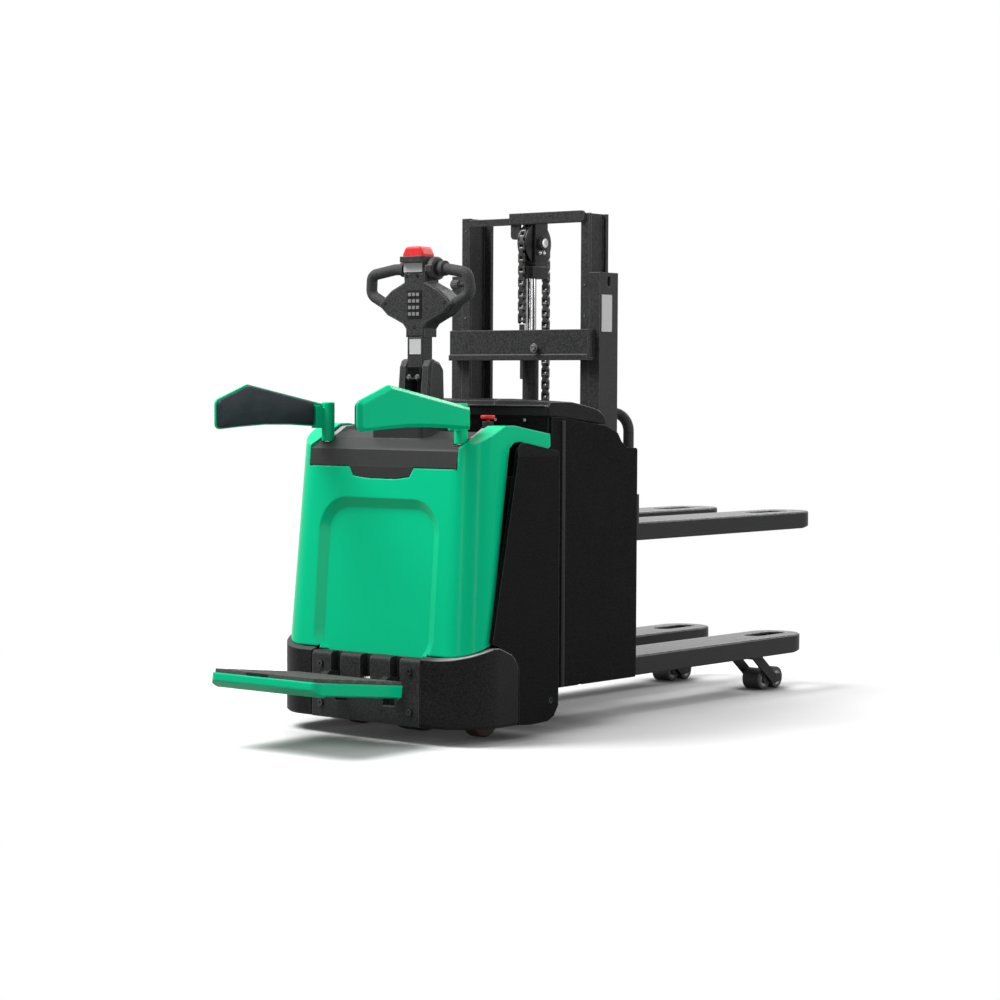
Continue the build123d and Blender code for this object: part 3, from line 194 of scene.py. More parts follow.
class Finish:
    """One procedural material and the nodes that feed its shader."""

    def __init__(self, name):
        self.material = bpy.data.materials.new("look_" + name)
        self.material.use_nodes = True
        self.tree = self.material.node_tree
        self.shader = self.tree.nodes["Principled BSDF"]
        self.place = self.add("ShaderNodeTexCoord", {}, "Object")

    def add(self, kind, feeds, output=0, **settings):
        """Add a node, set or link its inputs and give back one output."""
        node = self.tree.nodes.new(kind)
        for key, value in settings.items():
            setattr(node, key, value)
        for key, value in feeds.items():
            self.feed(node.inputs[key], value)
        return node.outputs[output]

    def feed(self, socket, value):
        """Link a socket, or set its value."""
        if isinstance(value, bpy.types.NodeSocket):
            self.tree.links.new(value, socket)
        else:
            socket.default_value = value

    def set(self, **values):
        """Feed the shader; underscores stand for blanks."""
        for key, value in values.items():
            self.feed(self.shader.inputs[key.replace("_", " ")], value)

    def fed(self, name):
        """What feeds an input of the shader."""
        return self.shader.inputs[name].links[0].from_socket

    def noise(self, scale, detail=2.0, stretch=(1.0, 1.0, 1.0)):
        """Cloudy values about a half."""
        at = self.add("ShaderNodeMapping", {"Vector": self.place, "Scale": stretch})
        return self.add("ShaderNodeTexNoise", {"Vector": at, "Scale": scale, "Detail": detail})

    def math(self, kind, first, second):
        """The result of an operation on two values."""
        return self.add("ShaderNodeMath", {0: first, 1: second}, operation=kind)

    def times(self, first, second):
        """The product of two values."""
        return self.math("MULTIPLY", first, second)

    def unsigned(self, value):
        """A value without its sign."""
        return self.add("ShaderNodeMath", {0: value}, operation="ABSOLUTE")

    def weigh(self, first, share, second):
        """A share of one value, and the rest of another."""
        return self.math("ADD", self.times(first, share), self.times(second, 1 - share))

    def span(self, value, low, high, to_low=0.0, to_high=1.0):
        """A value moved from one range to another."""
        feeds = {"Value": value, "From Min": low, "From Max": high, "To Min": to_low, "To Max": to_high}
        return self.add("ShaderNodeMapRange", feeds)

    def step(self, value, limit, half):
        """Zero below a limit and one above it, over a narrow band; a negative half turns it round."""
        return self.span(value, limit - half, limit + half)

    def mix(self, share, first, second):
        """Two colours mixed."""
        return self.add("ShaderNodeMix", {0: share, 6: first, 7: second}, 2, data_type="RGBA")

    def axis(self, letter):
        """One coordinate of the piece."""
        return self.add("ShaderNodeSeparateXYZ", {0: self.place}, letter)

    def rounded(self, radius):
        """A normal that turns smoothly round edges."""
        return self.add("ShaderNodeBevel", {"Radius": radius}, samples=BEVEL_SAMPLES)

    def edge_share(self, soft):
        """A share that rises towards edges, where the rounded normal leaves the flat one."""
        flat = self.add("ShaderNodeNewGeometry", {}, "Normal")
        level = self.add("ShaderNodeVectorMath", {0: soft, 1: flat}, "Value", operation="DOT_PRODUCT")
        return self.span(level, *EDGE_SPAN)

    def lean(self, normal):
        """How far a normal of the piece looks up."""
        own = self.add("ShaderNodeVectorTransform", {0: normal}, vector_type="NORMAL",
                       convert_from="WORLD", convert_to="OBJECT")
        return self.add("ShaderNodeSeparateXYZ", {0: own}, "Z")

    def bump(self, height, depth, normal=None, strength=0.6):
        """Relief on the surface."""
        feeds = {"Height": height, "Distance": depth, "Strength": strength}
        if normal is not None:
            feeds["Normal"] = normal
        self.set(Normal=self.add("ShaderNodeBump", feeds))


def coated(name, colour, rough, vary=0.2, speckle=420.0, grain=1500.0, depth=0.00025, rounding=None,
           wear_and_highlight=0.3, wear_and_highlight_colour=(0.07, 0.07, 0.072), specular=0.12, patchy=True, upward=False):
    """Paint or moulded plastic: uneven tone, speckle, grain, and a pale colour along edges that is wear in
    patches and a painted edge highlight where it runs evenly.
    """
    f = Finish(name)
    soft = f.rounded(rounding or sizes().edge)
    edge = f.edge_share(soft)
    # Upward keeps the pale edge colour to edges that face up, where light falls: painted highlight as well
    # as dust and wear.
    if upward:
        edge = f.times(edge, f.span(f.lean(soft), *UPWARD_SPAN))
    mixed = f.weigh(f.noise(CLOUD_SCALE, 4.0), CLOUD_SHARE, f.noise(speckle))
    base = f.mix(f.span(mixed, *TONE_SPAN), tone(colour, 1 - vary), tone(colour, 1 + vary))
    # When not patchy, the pale colour runs along every edge at seven tenths or more: a painted edge
    # highlight as well as wear.
    patch = f.span(f.noise(PATCH_SCALE, 5.0), *PATCH_SPAN, 0.0 if patchy else 0.7)
    base = f.mix(f.times(f.times(edge, patch), wear_and_highlight), base, tone(wear_and_highlight_colour))
    f.set(Base_Color=base, Roughness=f.span(mixed, *NOISE_SPAN, *rough), Specular_IOR_Level=specular)
    f.bump(f.noise(grain), depth, soft)
    return f


def masked(f, mask, mask_colour):
    """A second colour on a finish, where a mask is one."""
    f.set(Base_Color=f.mix(mask, f.fed("Base Color"), tone(mask_colour)))


def metal(name, colour, rough, streak=(1.0, 1.0, 1.0), grime=0.25):
    """Plated, polished or oiled metal with fine streaks and grime."""
    f = Finish(name)
    lines = f.noise(260.0, 3.0, streak)
    dirt = f.span(f.noise(45.0, 5.0), 0.45, 0.75)
    base = f.mix(f.span(lines, *NOISE_SPAN), tone(colour, 0.88), tone(colour, 1.08))
    base = f.mix(f.times(dirt, grime), base, tone(colour, 0.35))
    f.set(Base_Color=base, Roughness=f.span(lines, *NOISE_SPAN, *rough), Metallic=1.0)
    f.bump(lines, depth=0.00004, normal=f.rounded(0.0008), strength=0.4)


# Finishes of this machine

FORK_LINES = (0.142, 0.19, 0.243)
FORK_LINE_HALF = 0.0017
FORK_RUBBED = (0.47, 0.55)
TRAY_HINGE_Y = -0.873
DASH_STRIP_X = 0.27
DASH_STRIP_Y = -0.6515
SKIRT_ROUND = 0.006
KEY_HEIGHT = 0.001
HALF_STEP = 0.0005


def wheel_finish(node, colour, hub):
    """Scuffed tread, and a plated hub inside a radius."""
    f = Finish(node)
    steel = paint().steel
    at = f.add("ShaderNodeVectorMath", {0: f.place, 1: node_middle(node)}, operation="SUBTRACT")
    flat = f.add("ShaderNodeVectorMath", {0: at, 1: (0.0, 1.0, 1.0)}, operation="MULTIPLY")
    reach = f.add("ShaderNodeVectorMath", {0: flat}, "Value", operation="LENGTH")
    inside = f.step(reach, hub, half=-0.0006)
    scuff = f.noise(70.0, 5.0)
    rubber = f.mix(f.span(scuff, 0.35, 0.7), tone(colour, 0.75), tone(colour, 1.5))
    plated = f.mix(f.span(f.noise(300.0, 3.0), *NOISE_SPAN), tone(steel, 0.5), tone(steel, 0.9))
    f.set(Base_Color=f.mix(inside, rubber, plated), Metallic=inside)
    f.set(Roughness=f.span(scuff, *NOISE_SPAN, 0.5, 0.7))
    f.bump(f.noise(500.0), depth=0.0003, normal=f.rounded(0.002))


def fork_finish(name):
    """Textured black, darker than frame black, with pale upper rims; the top faces are polished by loads and
    painted paler grey, with fine lines pressed along them.
    """
    # The dark base is partly painted shade of the fork sides; the near-white upper rims are a painted
    # highlight as well as wear.
    f = coated(name, shade(paint().frame, 0.36), (0.4, 0.56), vary=0.6, speckle=200.0, depth=0.0001,
               rounding=0.007, wear_and_highlight=1.0, wear_and_highlight_colour=(0.6, 0.6, 0.602), specular=0.16,
               patchy=False, upward=True)
    up = f.add("ShaderNodeTexCoord", {}, "Normal")
    top = f.span(f.add("ShaderNodeSeparateXYZ", {0: up}, "Z"), 0.8, 0.95)
    rub_and_sheen = f.span(f.noise(60.0, 4.0, (3.0, 0.12, 3.0)), *NOISE_SPAN, *FORK_RUBBED)
    side = f.unsigned(f.axis("X"))
    lines = 0.0
    for x in FORK_LINES:
        off = f.unsigned(f.math("SUBTRACT", side, x))
        lines = f.math("MAXIMUM", lines, f.step(off, FORK_LINE_HALF, -HALF_STEP))
    polish = f.math("ADD", f.span(rub_and_sheen, *FORK_RUBBED, 0.27, 0.23), f.times(lines, 0.25))
    f.set(Roughness=f.add("ShaderNodeMix", {0: top, 2: f.fed("Roughness"), 3: polish}))
    # Paler grey on the top faces: wear from loads and a painted reflection of the bright surroundings; the
    # lines take some of it back.
    share = f.math("SUBTRACT", f.times(rub_and_sheen, 0.32), f.times(lines, 0.1))
    masked(f, f.times(share, top), (0.36, 0.36, 0.363))


def skirt_finish(name):
    """Grained skirt, its upward sloped rim painted pale as a highlight, most at the right corner."""
    f = coated(name, paint().skirt, (0.4, 0.56), vary=0.5, speckle=200.0, grain=1000.0, depth=0.0004,
               rounding=SKIRT_ROUND, wear_and_highlight=0.4, specular=0.08, patchy=False, upward=True)
    # Painted reflection of overhead light: the rim that faces up is painted pale, mostly on the right corner
    # only.
    rim = f.span(f.lean(f.rounded(SKIRT_ROUND)), 0.25, 0.6)
    corner = f.span(f.axis("X"), 0.25, 0.37, 0.1, 0.9)
    streak = f.span(f.noise(30.0, 4.0), *NOISE_SPAN, 0.8, 1.0)
    masked(f, f.times(f.times(rim, corner), streak), (0.5, 0.49, 0.49))


def rubber_finish(name, colour, grain=700.0, depth=0.0004):
    """Matt rubber, paler along its edges."""
    coated(name, colour, (0.6, 0.85), vary=0.28, speckle=260.0, grain=grain, depth=depth,
           rounding=0.002, wear_and_highlight=0.4, wear_and_highlight_colour=shade(colour, 2.2))


def pad_finish(name):
    """Foam skin with a leathery grain."""
    f = Finish(name)
    grain = f.add("ShaderNodeTexVoronoi", {"Vector": f.place, "Scale": 520.0})
    fine = f.noise(900.0, 3.0)
    mixed = f.weigh(f.noise(14.0, 4.0), 0.4, fine)
    base = f.mix(f.span(mixed, 0.35, 0.65), tone(paint().pad, 0.6), tone(paint().pad, 1.5))
    f.set(Base_Color=base, Roughness=f.span(grain, 0.0, 0.7, 0.62, 0.46), Specular_IOR_Level=0.16)
    f.bump(f.weigh(grain, 0.7, fine), depth=0.0005, strength=0.7)


def button_finish(name):
    """Semi-gloss red plastic with faint finger marks."""
    f = Finish(name)
    soft = f.rounded(0.0015)
    marks = f.noise(60.0, 4.0)
    base = f.mix(f.span(marks, 0.35, 0.7), tone(paint().red, 0.86), tone(paint().red, 1.08))
    # Painted highlight: the edges are painted a lighter red.
    base = f.mix(f.times(f.edge_share(soft), 0.3), base, (0.85, 0.13, 0.11, 1.0))
    f.set(Base_Color=base, Roughness=f.span(marks, *NOISE_SPAN, 0.36, 0.5), Specular_IOR_Level=0.25)
    f.bump(f.noise(800.0), depth=0.0001, normal=soft, strength=0.4)


def green_finish(name, rounding):
    """Satin green of the moulded covers, with a paler green along every edge as a painted highlight and some
    wear.
    """
    return coated(name, paint().green, (0.16, 0.24), vary=0.03, speckle=900.0, grain=2200.0, depth=0.00005,
                  rounding=rounding, wear_and_highlight=0.6, wear_and_highlight_colour=(0.04, 0.62, 0.38), specular=0.06, patchy=False)


def tray_finish(name):
    """Green step pan with black hinge knuckles."""
    f = green_finish(name, rounding=0.009)
    masked(f, f.step(f.axis("Y"), TRAY_HINGE_Y, HALF_STEP), paint().plastic)


def dash_finish(name):
    """Grained instrument top with two light strips beside the shoulders."""
    f = coated(name, paint().dash, (0.4, 0.54), vary=0.24, grain=1200.0, depth=0.0003, rounding=0.004,
               wear_and_highlight=0.5, wear_and_highlight_colour=(0.1, 0.1, 0.1), specular=0.22)
    beside = f.step(f.unsigned(f.axis("X")), DASH_STRIP_X, HALF_STEP)
    behind = f.step(f.axis("Y"), DASH_STRIP_Y, HALF_STEP)
    masked(f, f.times(beside, behind), shade(paint().trim, 0.6))


def keypad_finish(name):
    """Dark key plate with light keys."""
    f = coated(name, shade(paint().plastic, 0.35), (0.35, 0.5), rounding=0.0008)
    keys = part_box("keypad")[0].y + KEY_HEIGHT
    masked(f, f.step(f.axis("Y"), keys, half=-0.0002), shade(paint().trim, 0.42))


def build_finishes():
    """Build every finish of the machine."""
    p = paint()
    green_finish("cover_green", sizes().cover_edge)
    green_finish("arm_green", rounding=0.005)
    tray_finish("tray_green")
    dash_finish("dash_grey")
    keypad_finish("keypad_black")
    fork_finish("fork_black")
    button_finish("button_red")
    pad_finish("pad_skin")
    skirt_finish("skirt_black")
    # Frame, panel, plastic, lid and arm blacks get an even pale line along their edges: a painted edge
    # highlight as well as wear, on the lid only along upper edges.
    coated("frame_black", p.frame, (0.45, 0.62), vary=0.36, speckle=210.0, grain=900.0, depth=0.0004,
           rounding=0.004, wear_and_highlight=0.7, wear_and_highlight_colour=(0.15, 0.15, 0.152), patchy=False)
    coated("panel_black", p.panel, (0.5, 0.66), vary=0.9, speckle=170.0, grain=800.0, depth=0.0005,
           wear_and_highlight=0.8, wear_and_highlight_colour=(0.1, 0.1, 0.101), specular=0.04, patchy=False)
    coated("plastic_black", p.plastic, (0.4, 0.55), vary=0.4, speckle=260.0, grain=1200.0, depth=0.0003,
           rounding=0.003, wear_and_highlight=0.7, wear_and_highlight_colour=(0.24, 0.24, 0.242), specular=0.15, patchy=False)
    coated("lid_black", shade(p.frame, 0.55), (0.36, 0.5), vary=0.4, grain=1200.0, depth=0.0003,
           rounding=0.005, wear_and_highlight=0.9, wear_and_highlight_colour=(0.4, 0.4, 0.402), specular=0.04, patchy=False, upward=True)
    coated("plate_grey", p.trim, (0.36, 0.5), vary=0.07, speckle=500.0, depth=0.0001, rounding=0.0006,
           wear_and_highlight=0.5, wear_and_highlight_colour=(0.7, 0.7, 0.7), specular=0.3)
    coated("arm_black", p.skirt, (0.4, 0.56), vary=0.5, speckle=260.0,
           wear_and_highlight=0.7, wear_and_highlight_colour=(0.2, 0.2, 0.202), patchy=False)
    coated("motor_black", (0.03, 0.03, 0.032), (0.5, 0.7), vary=0.3, speckle=200.0, grain=500.0,
           depth=0.0005)
    coated("battery_grey", (0.05, 0.052, 0.056), (0.5, 0.65), rounding=0.004)
    rubber_finish("mat_rubber", p.mat)
    rubber_finish("grip_rubber", shade(p.plastic, 1.8), grain=1100.0, depth=0.0003)
    metal("chrome", (0.36, 0.36, 0.368), (0.06, 0.13), streak=(1.0, 1.0, 0.02), grime=0.2)
    metal("steel", p.steel, (0.25, 0.4))
    metal("chain_steel", p.chain, (0.28, 0.45), grime=0.8)
    metal("pulley_iron", (0.04, 0.04, 0.041), (0.35, 0.5), grime=0.5)
    metal("screw_black", (0.05, 0.05, 0.052), (0.32, 0.5))
    metal("bolt_dark", (0.16, 0.16, 0.165), (0.3, 0.45))
    wheel_finish("drive_wheel", p.tread, hub=0.08)
    for node in sorted(NODES):
        if node.startswith("load_wheel"):
            wheel_finish(node, p.tread, hub=0.0245)
        if node.startswith("caster_wheel"):
            wheel_finish(node, p.caster, hub=0.026)


# Nodes by finish; a wheel has a finish of its own name

NODE_FINISH = {
    "cover_green": ["front_cowl"],
    "tray_green": ["platform_tray"],
    "arm_green": ["arm_shell_left", "arm_shell_right"],
    "dash_grey": ["dash_panel"],
    "skirt_black": ["bumper_skirts"],
    "plastic_black": ["tiller_head", "tiller_arm", "steer_head", "throttle", "stop_base"],
    "keypad_black": ["keypad"],
    "grip_rubber": ["tiller_grips"],
    "lid_black": ["hood_lid"],
    "panel_black": ["side_covers", "side_panels", "battery_box"],
    "frame_black": ["chassis_frame", "hinge_plate", "outer_mast", "inner_mast", "carriage_frame",
                    "load_guard", "chain_yoke", "lift_cylinder"],
    "arm_black": ["swing_arm_left", "swing_arm_right", "bogie_left", "bogie_right", "caster_fork_left",
                  "caster_fork_right"],
    "fork_black": ["lower_fork_left", "lower_fork_right", "upper_fork_left", "upper_fork_right"],
    "button_red": ["belly_button", "stop_button"],
    "chrome": ["piston_rod"],
    "steel": ["pivot_pins", "tiller_pin"],
    "pulley_iron": ["chain_pulley"],
    "screw_black": ["chain_anchor", "skirt_bolts"],
    "chain_steel": ["chain_front", "chain_back"],
    "motor_black": ["drive_motor", "drive_gearbox", "power_pack"],
    "battery_grey": ["battery_pack"],
    "pad_skin": ["arm_pad_left", "arm_pad_right"],
    "mat_rubber": ["platform_mat"],
}


def finish(name):
    """A finish that has been built, by its plain name."""
    return bpy.data.materials["look_" + name]


class STACKER_OT_finishes(bpy.types.Operator):
    """Build every finish and give each CAD node its own"""

    bl_idname = "stacker.finishes"
    bl_label = "Finishes"

    def execute(self, context):
        build_finishes()
        chosen = {node: name for name, nodes in NODE_FINISH.items() for node in nodes}
        for name, node in NODES.items():
            material = finish(chosen.get(name, name))
            if not node.material_slots:
                node.data.materials.append(material)
            for slot in node.material_slots:
                slot.material = material
        return {"FINISHED"}


# Modelling steps: how near a place and how like a direction a picked element has to be

NEAR = 0.0005
SAME_WAY = 0.99


def deselect():
    """Leave nothing selected."""
    bpy.ops.object.select_all(action="DESELECT")


def take(piece):
    """Select one piece alone and make it active."""
    deselect()
    piece.select_set(True)
    bpy.context.view_layer.objects.active = piece


def added(name):
    """The object that an operator has just added, with its place applied to its mesh."""
    piece = bpy.context.active_object
    piece.name = name
    piece.data.name = name
    bpy.ops.object.transform_apply(location=True, rotation=True, scale=True)
    return piece


def block(name, x, y, z):
    """A box between three pairs of limits, to be shaped further."""
    deselect()
    middle = [(a + b) / 2 for a, b in (x, y, z)]
    size = [abs(b - a) for a, b in (x, y, z)]
    bpy.ops.mesh.primitive_cube_add(size=1.0, location=middle, scale=size)
    return added(name)


def disc(name, at, way, radius, depth, sides):
    """A short cylinder along a direction, to be shaped further."""
    deselect()
    turn = Vector(way).to_track_quat("Z", "Y").to_euler()
    bpy.ops.mesh.primitive_cylinder_add(
        vertices=sides, radius=radius, depth=depth, location=at, rotation=turn
    )
    return added(name)


def edit(piece, mode):
    """Open one piece in edit mode with nothing selected."""
    take(piece)
    bpy.ops.object.mode_set(mode="EDIT")
    bpy.ops.mesh.select_mode(type=mode)
    bpy.ops.mesh.select_all(action="DESELECT")


def pick(piece, kind, test):
    """Select the faces, edges or vertices that pass a test."""
    mesh = bmesh.from_edit_mesh(piece.data)
    bpy.ops.mesh.select_all(action="DESELECT")
    found = [e for e in getattr(mesh, kind) if test(e)]
    for element in found:
        element.select_set(True)
    mesh.select_flush_mode()
    bmesh.update_edit_mesh(piece.data)
    if not found:
        raise RuntimeError(piece.name + ": nothing to select among " + kind)


def close():
    """Leave edit mode."""
    bpy.ops.object.mode_set(mode="OBJECT")


def facing(way):
    """A test for faces that look in a direction."""
    return lambda face: face.normal.dot(Vector(way)) > SAME_WAY


def along(way):
    """A test for edges that run in a direction."""
    def test(edge):
        line = (edge.verts[0].co - edge.verts[1].co).normalized()
        return abs(line.dot(Vector(way))) > SAME_WAY
    return test


def above(height):
    """A test for edges that lie above a height."""
    return lambda edge: all(v.co.z > height for v in edge.verts)


def bevel_edges(piece, test, width, segments=2):
    """Round the edges that pass a test."""
    edit(piece, "EDGE")
    pick(piece, "edges", test)
    bpy.ops.mesh.bevel(offset=width, segments=segments, affect="EDGES")
    close()


def sink_face(piece, way, *steps):
    """Inset the face that looks in a direction, once for each step of a width and a depth."""
    edit(piece, "FACE")
    pick(piece, "faces", facing(way))
    for width, depth in steps:
        bpy.ops.mesh.inset(thickness=width, depth=depth)
    close()


def smooth(piece, angle=35.0):
    """Shade a piece smooth, apart from edges sharper than an angle in degrees."""
    take(piece)
    bpy.ops.object.shade_smooth_by_angle(angle=math.radians(angle))


def dress(piece, body, material):
    """Give a finished piece its finish and, where it has only one, its body."""
    piece.data.materials.clear()
    piece.data.materials.append(finish(material))
    if body:
        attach(piece, body)


def copy_piece(piece, name, matrix):
    """A copy with its own mesh, put in place through the mesh."""
    twin = bpy.data.objects.new(name, piece.data.copy())
    twin.data.name = name
    twin.data.transform(matrix)
    if matrix.determinant() < 0:
        twin.data.flip_normals()
    bpy.context.scene.collection.objects.link(twin)
    return twin


def join(name, pieces):
    """Join pieces into one object."""
    take(pieces[0])
    for piece in pieces[1:]:
        piece.select_set(True)
    if len(pieces) > 1:
        bpy.ops.object.join()
    pieces[0].name = name
    pieces[0].data.name = name
    return pieces[0]


def spread(master, name, spots):
    """Copies of a piece at spots, each a place and the way it looks, joined into one object."""
    copies = []
    for i, (at, way) in enumerate(spots):
        turn = Vector(way).to_track_quat("Z", "Y").to_matrix().to_4x4()
        copies.append(copy_piece(master, name + str(i), Matrix.Translation(at) @ turn))
    bpy.data.objects.remove(master)
    return join(name, copies)


# Fasteners and plates, with sizes and places in metres; a rim is steps of a width and a depth

HEAD_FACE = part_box("keypad")[1].y
HEAD_SPOTS = ((-0.118, 1.296), (0.118, 1.296), (0.0, 1.222), (-0.03, 1.3765), (0.012, 1.3765))
ARM_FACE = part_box("tiller_arm")[0].y
BOX_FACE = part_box("battery_box")[0].y
BOX_SCREW_X = (-0.263, -0.15, 0.15, 0.263)
BOX_SCREW_Z = 0.9435
COVER_PLUG = (0.3925, -0.422, 0.11)
AXLE = node_middle("chain_pulley")
AXLE_CAP_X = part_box("chain_yoke")[1].x
KEEPER_X = 0.032
KEEPER_DROP = 0.03
KEEPER_Y = (-0.01, 0.01)
RAIL_SCREW_X = 0.2415
RAIL_SCREW_Y = -0.06
RAIL_SCREW_Z = (1.2656, 1.3619)
TOP_SCREW_Z = 1.545
TIE_BOLT = (0.078, -0.108, 1.166)
FORK_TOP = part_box("lower_fork_right")[1].z
FORK_PLUG_X = 0.2432
FORK_PLUG_Y = (0.8, 0.853)
FORK_PLUG_SUNK = 0.0006
RAIL_FACE = 0.3
PLATE_CORNER = 0.003
PLATE_RIM = ((0.0014, 0.0), (0.0003, -0.0003))
HEAD_PLATE_X = (-0.042, 0.032)
HEAD_PLATE_Z = (1.388, 1.4155)
ARM_PLATE_X = (-0.021, 0.025)
ARM_PLATE_Z = (1.141, 1.187)
MAST_PLATE_Y = (-0.05, 0.003)
MAST_PLATE_Z = (1.217, 1.332)


def socket_screw(name, radius, depth):
    """Socket-head screw at the origin that looks along Z."""
    piece = disc(name, (0.0, 0.0, depth / 2), UP, radius, depth, sides=20)
    bevel_edges(piece, above(depth * 0.9), radius * 0.16)
    sink_face(piece, UP, (radius * 0.4, 0.0), (radius * 0.04, -depth * 0.6))
    smooth(piece)
    return piece


def hex_bolt(name, radius, depth):
    """Hexagon head on a washer at the origin that looks along Z."""
    head = disc(name, (0.0, 0.0, depth * 0.6), UP, radius, depth * 0.8, sides=6)
    bevel_edges(head, above(depth * 0.9), radius * 0.12)
    sink_face(head, UP, (radius * 0.15, 0.0), (radius * 0.1, -depth * 0.06))
    washer = disc(name + "_washer", (0.0, 0.0, depth * 0.1), UP, radius * 1.4, depth * 0.2, sides=28)
    bevel_edges(washer, above(depth * 0.15), depth * 0.08, segments=1)
    whole = join(name, [head, washer])
    smooth(whole)
    return whole


def fasten(model, name, spots, body, material, radius, depth):
    """Like screws or bolts at their spots, as one piece that rides on a body."""
    dress(spread(model(name, radius, depth), name + "s", spots), body, material)


def blank_plate(name, x, y, z, way):
    """Thin plate with round corners and a raised rim, bare on its face."""
    piece = block(name, x, y, z)
    bevel_edges(piece, along(way), PLATE_CORNER, segments=3)
    sink_face(piece, way, *PLATE_RIM)
    smooth(piece)
    return piece


class STACKER_OT_screws(bpy.types.Operator):
    """Socket screws and bolts on the head, boxes, covers, mast and forks"""

    bl_idname = "stacker.screws"
    bl_label = "Screws and Bolts"

    def execute(self, context):
        self.cover_screws(sizes().screw)
        self.mast_bolts(sizes().screw, sizes().bolt)
        spots = [((s * FORK_PLUG_X, y, FORK_TOP - FORK_PLUG_SUNK), UP) for s in SIDES for y in FORK_PLUG_Y]
        fasten(socket_screw, "fork_plug", spots, "lift_frame", "screw_black", radius=0.006, depth=0.001)
        return {"FINISHED"}

    def cover_screws(self, screw):
        """Plugs of the head, screws of the battery box and plugs of the side covers."""
        spots = [((x, HEAD_FACE, z), FRONT) for x, z in HEAD_SPOTS]
        # The head plugs are near black: partly painted shade of the screw holes they cover.
        fasten(socket_screw, "head_screw", spots, "tiller", "panel_black", radius=screw * 1.4, depth=0.0012)
        spots = [((x, BOX_FACE, BOX_SCREW_Z), FRONT) for x in BOX_SCREW_X]
        fasten(socket_screw, "box_screw", spots, "lift_frame", "steel", radius=screw * 1.3, depth=0.003)
        x, y, z = COVER_PLUG
        spots = [((s * x, y, z), (s, 0.0, 0.0)) for s in SIDES]
        fasten(socket_screw, "cover_plug", spots, "chassis", "screw_black", radius=0.0125, depth=0.006)

    def mast_bolts(self, screw, bolt):
        """Axle ends, keeper bolts, small screws and the tie's bolt."""
        spots = [((s * AXLE_CAP_X, AXLE.y, AXLE.z), (s, 0.0, 0.0)) for s in SIDES]
        fasten(socket_screw, "axle_end", spots, "mast_inner", "steel", radius=0.015, depth=0.003)
        spots = [((KEEPER_X, AXLE.y + y, AXLE.z - KEEPER_DROP), RIGHT) for y in KEEPER_Y]
        fasten(hex_bolt, "keeper_bolt", spots, "mast_inner", "steel", radius=0.0045, depth=0.004)
        spots = [((s * RAIL_SCREW_X, RAIL_SCREW_Y, z), FRONT) for s in SIDES for z in RAIL_SCREW_Z]
        spots += [((-RAIL_SCREW_X, RAIL_SCREW_Y, TOP_SCREW_Z), FRONT)]
        fasten(socket_screw, "rail_screw", spots, "mast_inner", "bolt_dark", radius=screw * 0.8, depth=0.002)
        spots = [(TIE_BOLT, FRONT)]
        fasten(hex_bolt, "tie_bolt", spots, "lift_frame", "bolt_dark", radius=bolt, depth=0.007)


class STACKER_OT_plates(bpy.types.Operator):
    """Bare plates on the head, the tiller arm and the mast"""

    bl_idname = "stacker.plates"
    bl_label = "Blank Plates"

    def execute(self, context):
        t = sizes().plate
        plates = (
            ("head_plate", HEAD_PLATE_X, (HEAD_FACE - t, HEAD_FACE), HEAD_PLATE_Z, FRONT, "tiller"),
            ("arm_plate", ARM_PLATE_X, (ARM_FACE - t, ARM_FACE), ARM_PLATE_Z, FRONT, "tiller"),
            ("mast_plate", (RAIL_FACE, RAIL_FACE + t), MAST_PLATE_Y, MAST_PLATE_Z, RIGHT, "lift_frame"),
        )
        for name, x, y, z, way, body in plates:
            dress(blank_plate(name, x, y, z, way), body, "plate_grey")
        return {"FINISHED"}


# Trim of the tiller, lid, panels and step, in metres; a dish is steps of a width and a depth

KNOB_ROOT = (0.155, -0.5635, 1.348)
KNOB_RADIUS = 0.0145
KNOB_LENGTH = 0.028
KNOB_REACH = 0.026
KNOB_FACETS = 32
KNOB_ROUND = 0.003
STEM_RADIUS = 0.008
STEM_LENGTH = 0.03
STEM_START = -0.001
STEM_ROUND = 0.0006
LINK_X = (-0.029, 0.027)
LINK_Y = (-0.5915, -0.5865)
LINK_Z = (1.064, 1.104)
LINK_CORNER = 0.006
LINK_DISH = ((0.004, 0.0), (0.001, -0.002))
LINK_BOLT_X = (-0.021, 0.012)
LINK_BOLT_Y = -0.5895
LINK_BOLT_Z = 1.0715
LIP_PROUD = 0.0035
LIP_LET_IN = 0.004
LIP_SHORT = 0.002
LIP_Z = (0.9835, 0.9895)
STRAP_Z = (0.9575, 0.985)
STRAP_WIDTH = 0.012
TRIM_ROUND = 0.0018
BEAD_BACK = 0.046
BEAD_WIDTH = 0.018
BEAD_PROUD = 0.005
BEAD_LET_IN = 0.002
BEAD_BELOW_TOP = 0.012
BEAD_ABOVE_FOOT = 0.002
BEAD_ROUND = 0.0045
BEAD_TOP_ROUND = 0.0015
GRIP_X = (-0.069, 0.014)
GRIP_Y = (-0.0012, 0.016)
GRIP_Z = (-0.0105, -0.002)
GRIP_DISH = ((0.0015, 0.0), (0.0008, -0.003))


def every_other_side(face):
    """A test for every second facet round the knob."""
    facet = math.atan2(face.normal.z, face.normal.y) / math.tau * KNOB_FACETS
    return abs(face.normal.x) < 0.1 and int(round(facet - 0.5)) % 2


